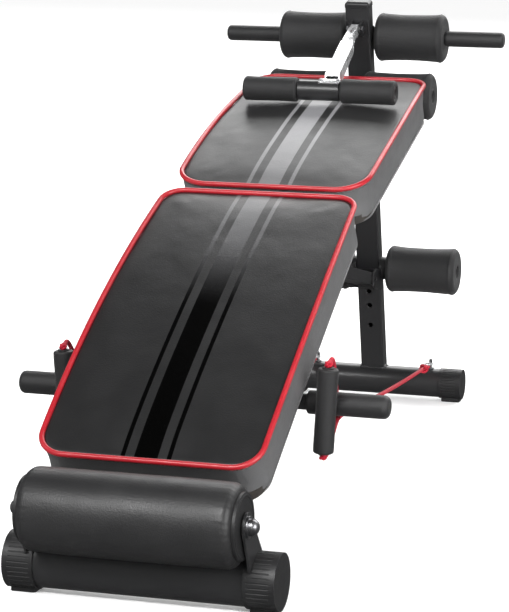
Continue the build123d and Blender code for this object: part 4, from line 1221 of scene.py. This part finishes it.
def build_handle(side_name, side, middle):
    """Leaning foam grip with a plastic washer at each end."""
    body = f"handle_{side_name}"
    lean = Matrix.Translation(middle) @ Matrix.Rotation(side * HANDLE_LEAN, 4, "Y")

    def leaning(mesh_data):
        return [lean @ Vector(v) for v in mesh_data[0]], mesh_data[1]

    bottom = -HANDLE_HALF
    length = 2 * HANDLE_HALF
    shoulder = HANDLE_RADIUS - 3.2
    lower_end = [(bottom + 1.2, 4.2), (bottom + 0.1, 5.4), (bottom + 0.1, shoulder)]
    for degrees in range(10, 91, 16):
        angle = math.radians(degrees)
        lower_end.append((bottom + 3.1 - 3.0 * math.cos(angle),
                          shoulder + 3.1 * math.sin(angle)))
    skin = []
    for i in range(1, HANDLE_STEPS):
        z = bottom + 4 + (length - 8) * i / HANDLE_STEPS
        skin.append((z, HANDLE_RADIUS - 0.1 - 0.35 * math.cos(z / length * 2 * math.pi) * 0.5))
    upper_end = [(-z, radius) for z, radius in reversed(lower_end)]
    profile = lower_end + skin + upper_end + [(0.0, 4.2)]
    add_mesh(f"handle_grip_{side_name}_foam",
             leaning(lathe(profile, Vector((0, 0, 0)), 64, axis="Z")),
             "grip_foam", body, f"handle_grip_{side_name}")

    # out from the grip's end, radius
    washer = ((0.05, 3.4), (0.05, 8.0), (0.8, 8.6), (1.5, 8.0), (1.7, 3.9), (1.2, 3.4))
    parts = []
    for end in (-1, 1):
        profile = [(end * HANDLE_HALF + end * out, radius) for out, radius in washer]
        parts.append(lathe(profile, Vector((0, 0, 0)), 40, axis="Z"))
    add_mesh(f"handle_washers_{side_name}", leaning(joined(parts)),
             "black_plastic", body)


def build_handle_cord(side_name, side, middle, junction):
    """Cord out of both ends of the grip to the junction behind it, knotted and bound."""
    axis = Vector((side * math.sin(HANDLE_LEAN), 0, math.cos(HANDLE_LEAN)))

    def beside(along, behind=0.0):
        return middle + axis * (along / 1000) + Vector((0, behind / 1000, 0))

    parts = []
    for end, end_z in ((1, 0.002), (-1, -0.006)):
        path = [beside(end * (HANDLE_HALF - 12)),
                beside(end * (HANDLE_HALF + 5)),
                beside(end * (HANDLE_HALF + 7.5), 7),
                beside(end * (HANDLE_HALF + 3.5), 24),
                junction.lerp(beside(end * (HANDLE_HALF + 6), 22), 0.3),
                junction + Vector((0, -0.004, end_z))]
        parts.append(tube(smooth_path(path, 10), CORD_RADIUS, CORD_SEGMENTS))
    # knots just outside the washers
    for end in (1, -1):
        base = beside(end * (HANDLE_HALF + 5))
        knot = [Vector((base.x + x, base.y + y, base.z + end * 0.0006 + z))
                for x, y, z in trefoil(count=40, radius=0.0031, lobe=0.25, rise=0.0020)]
        parts.append(tube(knot, 2.1, 10, closed=True))
    # whipped binding where both ends meet
    turns, points = 7, 90
    binding = []
    for i in range(points):
        k = i / (points - 1)
        angle = k * 2 * math.pi * turns
        binding.append(junction + Vector((0.0052 * math.cos(angle), -0.010 + 0.018 * k,
                                          -0.002 + 0.0052 * math.sin(angle))))
    parts.append(tube(binding, 1.35, 8))
    add_mesh(f"handle_cord_braid_{side_name}", joined(parts), "cord",
             f"handle_{side_name}", f"handle_cord_{side_name}")


def build_elastic(side_name, side, junction):
    """Long elastic in two halves that sag a little: the front half from the handle's junction
    to the midpoint, the rear half from there to the carabiner, with an eye splice."""
    _, low, high = measure("carabiners")
    front = junction + Vector((0, 0.006, -0.003))
    rear = Vector((side * 0.100, low.y - 0.010, high.z - 0.0045))
    middle = front.lerp(rear, 0.5)

    def strand(start, end):
        path = []
        for i in range(ELASTIC_STEPS + 1):
            point = start.lerp(end, i / ELASTIC_STEPS)
            k = (point.y - front.y) / (rear.y - front.y)
            path.append(point - Vector((0, 0, ELASTIC_SAG * 4 * k * (1 - k))))
        return tube(path, CORD_RADIUS, CORD_SEGMENTS)

    overlap = (rear - front) * 0.004
    ob = add_mesh(f"elastic_front_{side_name}", strand(front, middle + overlap), "cord",
                  replaces=f"cord_{side_name}")
    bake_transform(ob)

    # eye splice through the carabiner: a loop, a knot and the short tail
    loop = []
    for i in range(28):
        angle = 2 * math.pi * i / 28
        loop.append(rear + Vector((0.0052 * math.sin(angle), 0.009 - 0.0095 * math.cos(angle),
                                   0.0004 * math.cos(angle))))
    knot = [rear + Vector((x, -0.006 + y, z))
            for x, z, y in trefoil(count=48, radius=0.0048, lobe=0.3, rise=0.0036)]
    tail = [rear + Vector(offset) for offset in ((0.003, -0.008, 0.003), (0.006, -0.016, 0.006),
                                                 (0.007, -0.026, 0.0075))]
    parts = [strand(middle, rear), tube(loop, 2.1, 10, closed=True),
             tube(knot, 2.5, 10, closed=True), tube(smooth_path(tail, 6), 2.6, 10)]
    ob = add_mesh(f"elastic_rear_{side_name}", joined(parts), "cord")
    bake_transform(ob)


for side_name, side in SIDES:
    grip_middle = measure(f"handle_grip_{side_name}")[0]
    junction = place(side * JUNCTION[0], JUNCTION[1], JUNCTION[2])
    build_handle(side_name, side, grip_middle)
    build_handle_cord(side_name, side, grip_middle, junction)
    build_elastic(side_name, side, junction)


# ------------------------------------------------------------------ welds
UPRIGHT_SLOPE = 0.199       # the upright leans forwards by this per unit of height
UPRIGHT_LEAN = math.atan(UPRIGHT_SLOPE)
UPRIGHT_FOOT = (1180.0, 55.0)    # depth and height of its front face at the foot, mm
UPRIGHT_THICK = 0.025            # front to rear, m


def bead(path, radius, closed=False):
    return tube(path, radius, 8, closed, scale=lambda i: 1.0 + 0.16 * math.sin(i * 2.1))


def foot_weld():
    """Bead round the upright's section where it meets the rear crossbar."""
    axis = Vector((0, -math.sin(UPRIGHT_LEAN), math.cos(UPRIGHT_LEAN)))
    normal = Vector((0, math.cos(UPRIGHT_LEAN), math.sin(UPRIGHT_LEAN)))
    foot = place(0, *UPRIGHT_FOOT) + normal * (UPRIGHT_THICK / 2)
    bar, low, high = measure("rear_crossbar")
    bar_radius = (high.z - low.z) / 2
    half_width, half_thick = 0.0202, 0.0127
    corners = ((-half_width, -half_thick), (half_width, -half_thick),
               (half_width, half_thick), (-half_width, half_thick))
    path = []
    for start, end, count in zip(corners, corners[1:] + corners[:1], (14, 9, 14, 9)):
        for i in range(count):
            across = start[0] + (end[0] - start[0]) * i / count
            out = start[1] + (end[1] - start[1]) * i / count
            point = foot + Vector((across, 0, 0)) + normal * out
            # slide along the upright's axis to the crossbar's surface
            y, z = point.y - bar.y, point.z - bar.z
            square = axis.y * axis.y + axis.z * axis.z
            linear = 2 * (y * axis.y + z * axis.z)
            constant = y * y + z * z - bar_radius * bar_radius
            root = math.sqrt(max(linear * linear - 4 * square * constant, 0))
            path.append(point + axis * ((-linear + root) / (2 * square)))
    return bead(path, 2.3, closed=True)


def upright_bead(node, x, offset, count, radius):
    """Bead up the height of node, at offset (m) behind the upright's front face."""
    low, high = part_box(node)
    path = []
    for i in range(count):
        z = low.z + (high.z - low.z) * i / (count - 1)
        depth = UPRIGHT_FOOT[0] - (z * 1000 - UPRIGHT_FOOT[1]) * UPRIGHT_SLOPE
        path.append(Vector((x, place(0, depth, 0).y + offset, z)))
    return bead(path, radius)


def build_upright_welds():
    """The T-bar saddle is on the rear face, the knee arm's ears on the front face."""
    rear_face = UPRIGHT_THICK / math.cos(UPRIGHT_LEAN)
    parts = [foot_weld()]
    for side in (-1, 1):
        parts.append(upright_bead("t_bar_saddle", x=side * 0.0192, offset=rear_face + 0.0004,
                                  count=16, radius=1.9))
        parts.append(upright_bead("knee_arm_ears", x=side * 0.0184, offset=-0.0004,
                                  count=14, radius=1.5))
    add_mesh("upright_welds", joined(parts), "weld", "upright")


def build_frame_welds():
    bar, low, high = measure("front_crossbar")
    bead_reach = (high.z - low.z) / 2 + 0.0006

    def bar_bead(x, start, sweep, count, radius):
        """Bead round the front crossbar; 0 degrees is its rear, 90 its top."""
        path = []
        for i in range(count):
            angle = math.radians(start + sweep * i / (count - 1))
            path.append(Vector((x, bar.y + bead_reach * math.cos(angle),
                                bar.z + bead_reach * math.sin(angle))))
        return bead(path, radius)

    parts = []
    for side in (-1, 1):
        for offset in (-0.0017, 0.0017):
            parts.append(bar_bead(side * 0.1522 + offset, start=75, sweep=60, count=34,
                                  radius=1.7))
    for side in (-1, 1):
        # beside the front leg
        parts.append(bar_bead(side * 0.0203, start=20, sweep=55, count=26, radius=2.0))
        # hinge ears along the seat beam's side
        path = []
        for i in range(20):
            k = i / 19
            path.append(place(side * 20.6, 992 + 60 * k, 496.6 + 1.4 * k + 8.0 * k * k))
        parts.append(bead(path, 1.6))
    add_mesh("frame_welds", joined(parts), "weld", "frame")


build_upright_welds()
build_frame_welds()


# ------------------------------------------------------------------ floor and lights
FLOOR_HALF = 14.0
FLOOR_Z = -0.0004


def build_floor():
    mesh = bpy.data.meshes.new("floor")
    corners = [(x * FLOOR_HALF, y * FLOOR_HALF, 0)
               for x, y in ((-1, -1), (1, -1), (1, 1), (-1, 1))]
    mesh.from_pydata(corners, [], [(0, 1, 2, 3)])
    ob = bpy.data.objects.new("floor", mesh)
    scene.collection.objects.link(ob)
    ob.location.z = FLOOR_Z
    mat = Shader("pale_floor")
    mat.finish(color=mat.mix(mat.noise(scale=2.0), grey(0.93), grey(0.95)), rough=0.6, spec=0.1)
    mat.principled.inputs["Emission Color"].default_value = (1, 1, 1, 1)
    mat.principled.inputs["Emission Strength"].default_value = 0.16
    mesh.materials.append(mat.material)
    ob.visible_glossy = False
    ob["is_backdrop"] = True


def area_light(name, location, target, size, power, spread=180.0):
    """Rectangular light aimed at target; size is (width, height), spread in degrees."""
    light = bpy.data.lights.new(name, "AREA")
    light.shape = "RECTANGLE"
    light.size, light.size_y = size
    light.energy = power
    light.spread = math.radians(spread)
    ob = bpy.data.objects.new(name, light)
    scene.collection.objects.link(ob)
    ob.location = location
    aim = Vector(target) - Vector(location)
    ob.rotation_euler = aim.to_track_quat("-Z", "Y").to_euler()
    ob.visible_camera = False


build_floor()
area_light("rear_panel", location=(0.6, 5.1, 3.7), target=(0, 0.1, 0.4),
           size=(7.0, 3.6), power=390)
area_light("top_front_softbox", location=(-0.40, -3.1, 2.55), target=(-0.05, -0.4, 0.2),
           size=(1.75, 0.62), power=114)
area_light("key_left", location=(-2.6, -1.2, 2.4), target=(0, -0.1, 0.3),
           size=(1.0, 1.6), power=9)
area_light("fill_right", location=(3.1, -1.7, 1.25), target=(0, 0.1, 0.3),
           size=(1.4, 2.0), power=84)
# a narrow beam from the front right on to the rear right of the bench
area_light("rear_right_kicker", location=(1.6, -2.6, 1.2), target=(0.32, 0.60, 0.10),
           size=(0.7, 0.7), power=2.0, spread=26.0)


# ------------------------------------------------------------------ world
# grey seen in reflections, from straight down (0) through the horizon to overhead (1)
SKY_BOTTOM, SKY_TOP = 0.08, 0.05
SKY_STOPS = ((0.42, 0.12), (0.52, 0.26), (0.62, 0.14), (0.80, 0.05))


def build_world():
    """White to the camera, a little dimmer as light, a soft gradient in reflections."""
    world = bpy.data.worlds.new("studio")
    scene.world = world
    world.use_nodes = True
    nodes, link = world.node_tree.nodes, world.node_tree.links.new
    nodes.clear()

    def background(strength):
        node = nodes.new("ShaderNodeBackground")
        node.inputs[0].default_value = (1, 1, 1, 1)
        node.inputs[1].default_value = strength
        return node

    output = nodes.new("ShaderNodeOutputWorld")
    camera_mix = nodes.new("ShaderNodeMixShader")
    glossy_mix = nodes.new("ShaderNodeMixShader")
    rays = nodes.new("ShaderNodeLightPath")
    seen = background(strength=1.0)
    diffuse = background(strength=0.9)
    reflected = background(strength=1.0)

    direction = nodes.new("ShaderNodeTexCoord")
    axes = nodes.new("ShaderNodeSeparateXYZ")
    link(direction.outputs["Generated"], axes.inputs[0])
    # direction's z, -1 to 1, on to the ramp's 0 to 1
    height = nodes.new("ShaderNodeMath")
    height.operation = "MULTIPLY_ADD"
    height.inputs[1].default_value = 0.5
    height.inputs[2].default_value = 0.5
    link(axes.outputs[2], height.inputs[0])
    gradient = nodes.new("ShaderNodeValToRGB")
    link(height.outputs[0], gradient.inputs[0])
    stops = gradient.color_ramp.elements
    stops[0].color = (*grey(SKY_BOTTOM), 1)
    stops[1].color = (*grey(SKY_TOP), 1)
    for position, value in SKY_STOPS:
        stops.new(position).color = (*grey(value), 1)
    link(gradient.outputs[0], reflected.inputs[0])

    link(rays.outputs["Is Glossy Ray"], glossy_mix.inputs[0])
    link(diffuse.outputs[0], glossy_mix.inputs[1])
    link(reflected.outputs[0], glossy_mix.inputs[2])
    link(rays.outputs["Is Camera Ray"], camera_mix.inputs[0])
    link(glossy_mix.outputs[0], camera_mix.inputs[1])
    link(seen.outputs[0], camera_mix.inputs[2])
    link(camera_mix.outputs[0], output.inputs[0])


build_world()
scene.view_settings.view_transform = "Standard"
scene.view_settings.look = "None"


# ------------------------------------------------------------------ camera
CAMERA_PLACE = (1.079, -3.0435 + FRONT_Y, 1.0452)
CAMERA_TURN = math.radians(17.0)    # turned from +Y towards -X
CAMERA_DIP = math.radians(11.5)     # tipped below the horizontal
CAMERA_LENS = 152.464706            # mm
CAMERA_SENSOR = 36.0                # mm


def build_camera():
    camera = bpy.data.cameras.new("camera")
    ob = bpy.data.objects.new("camera", camera)
    scene.collection.objects.link(ob)
    camera.sensor_width = CAMERA_SENSOR
    camera.lens = CAMERA_LENS
    camera.clip_end = 100
    look = Vector((-math.sin(CAMERA_TURN) * math.cos(CAMERA_DIP),
                   math.cos(CAMERA_TURN) * math.cos(CAMERA_DIP), -math.sin(CAMERA_DIP)))
    ob.location = CAMERA_PLACE
    ob.rotation_euler = look.to_track_quat("-Z", "Y").to_euler()
    scene.camera = ob


build_camera()

{"cad": CAD_BOX, "visual": as_lists(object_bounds())}
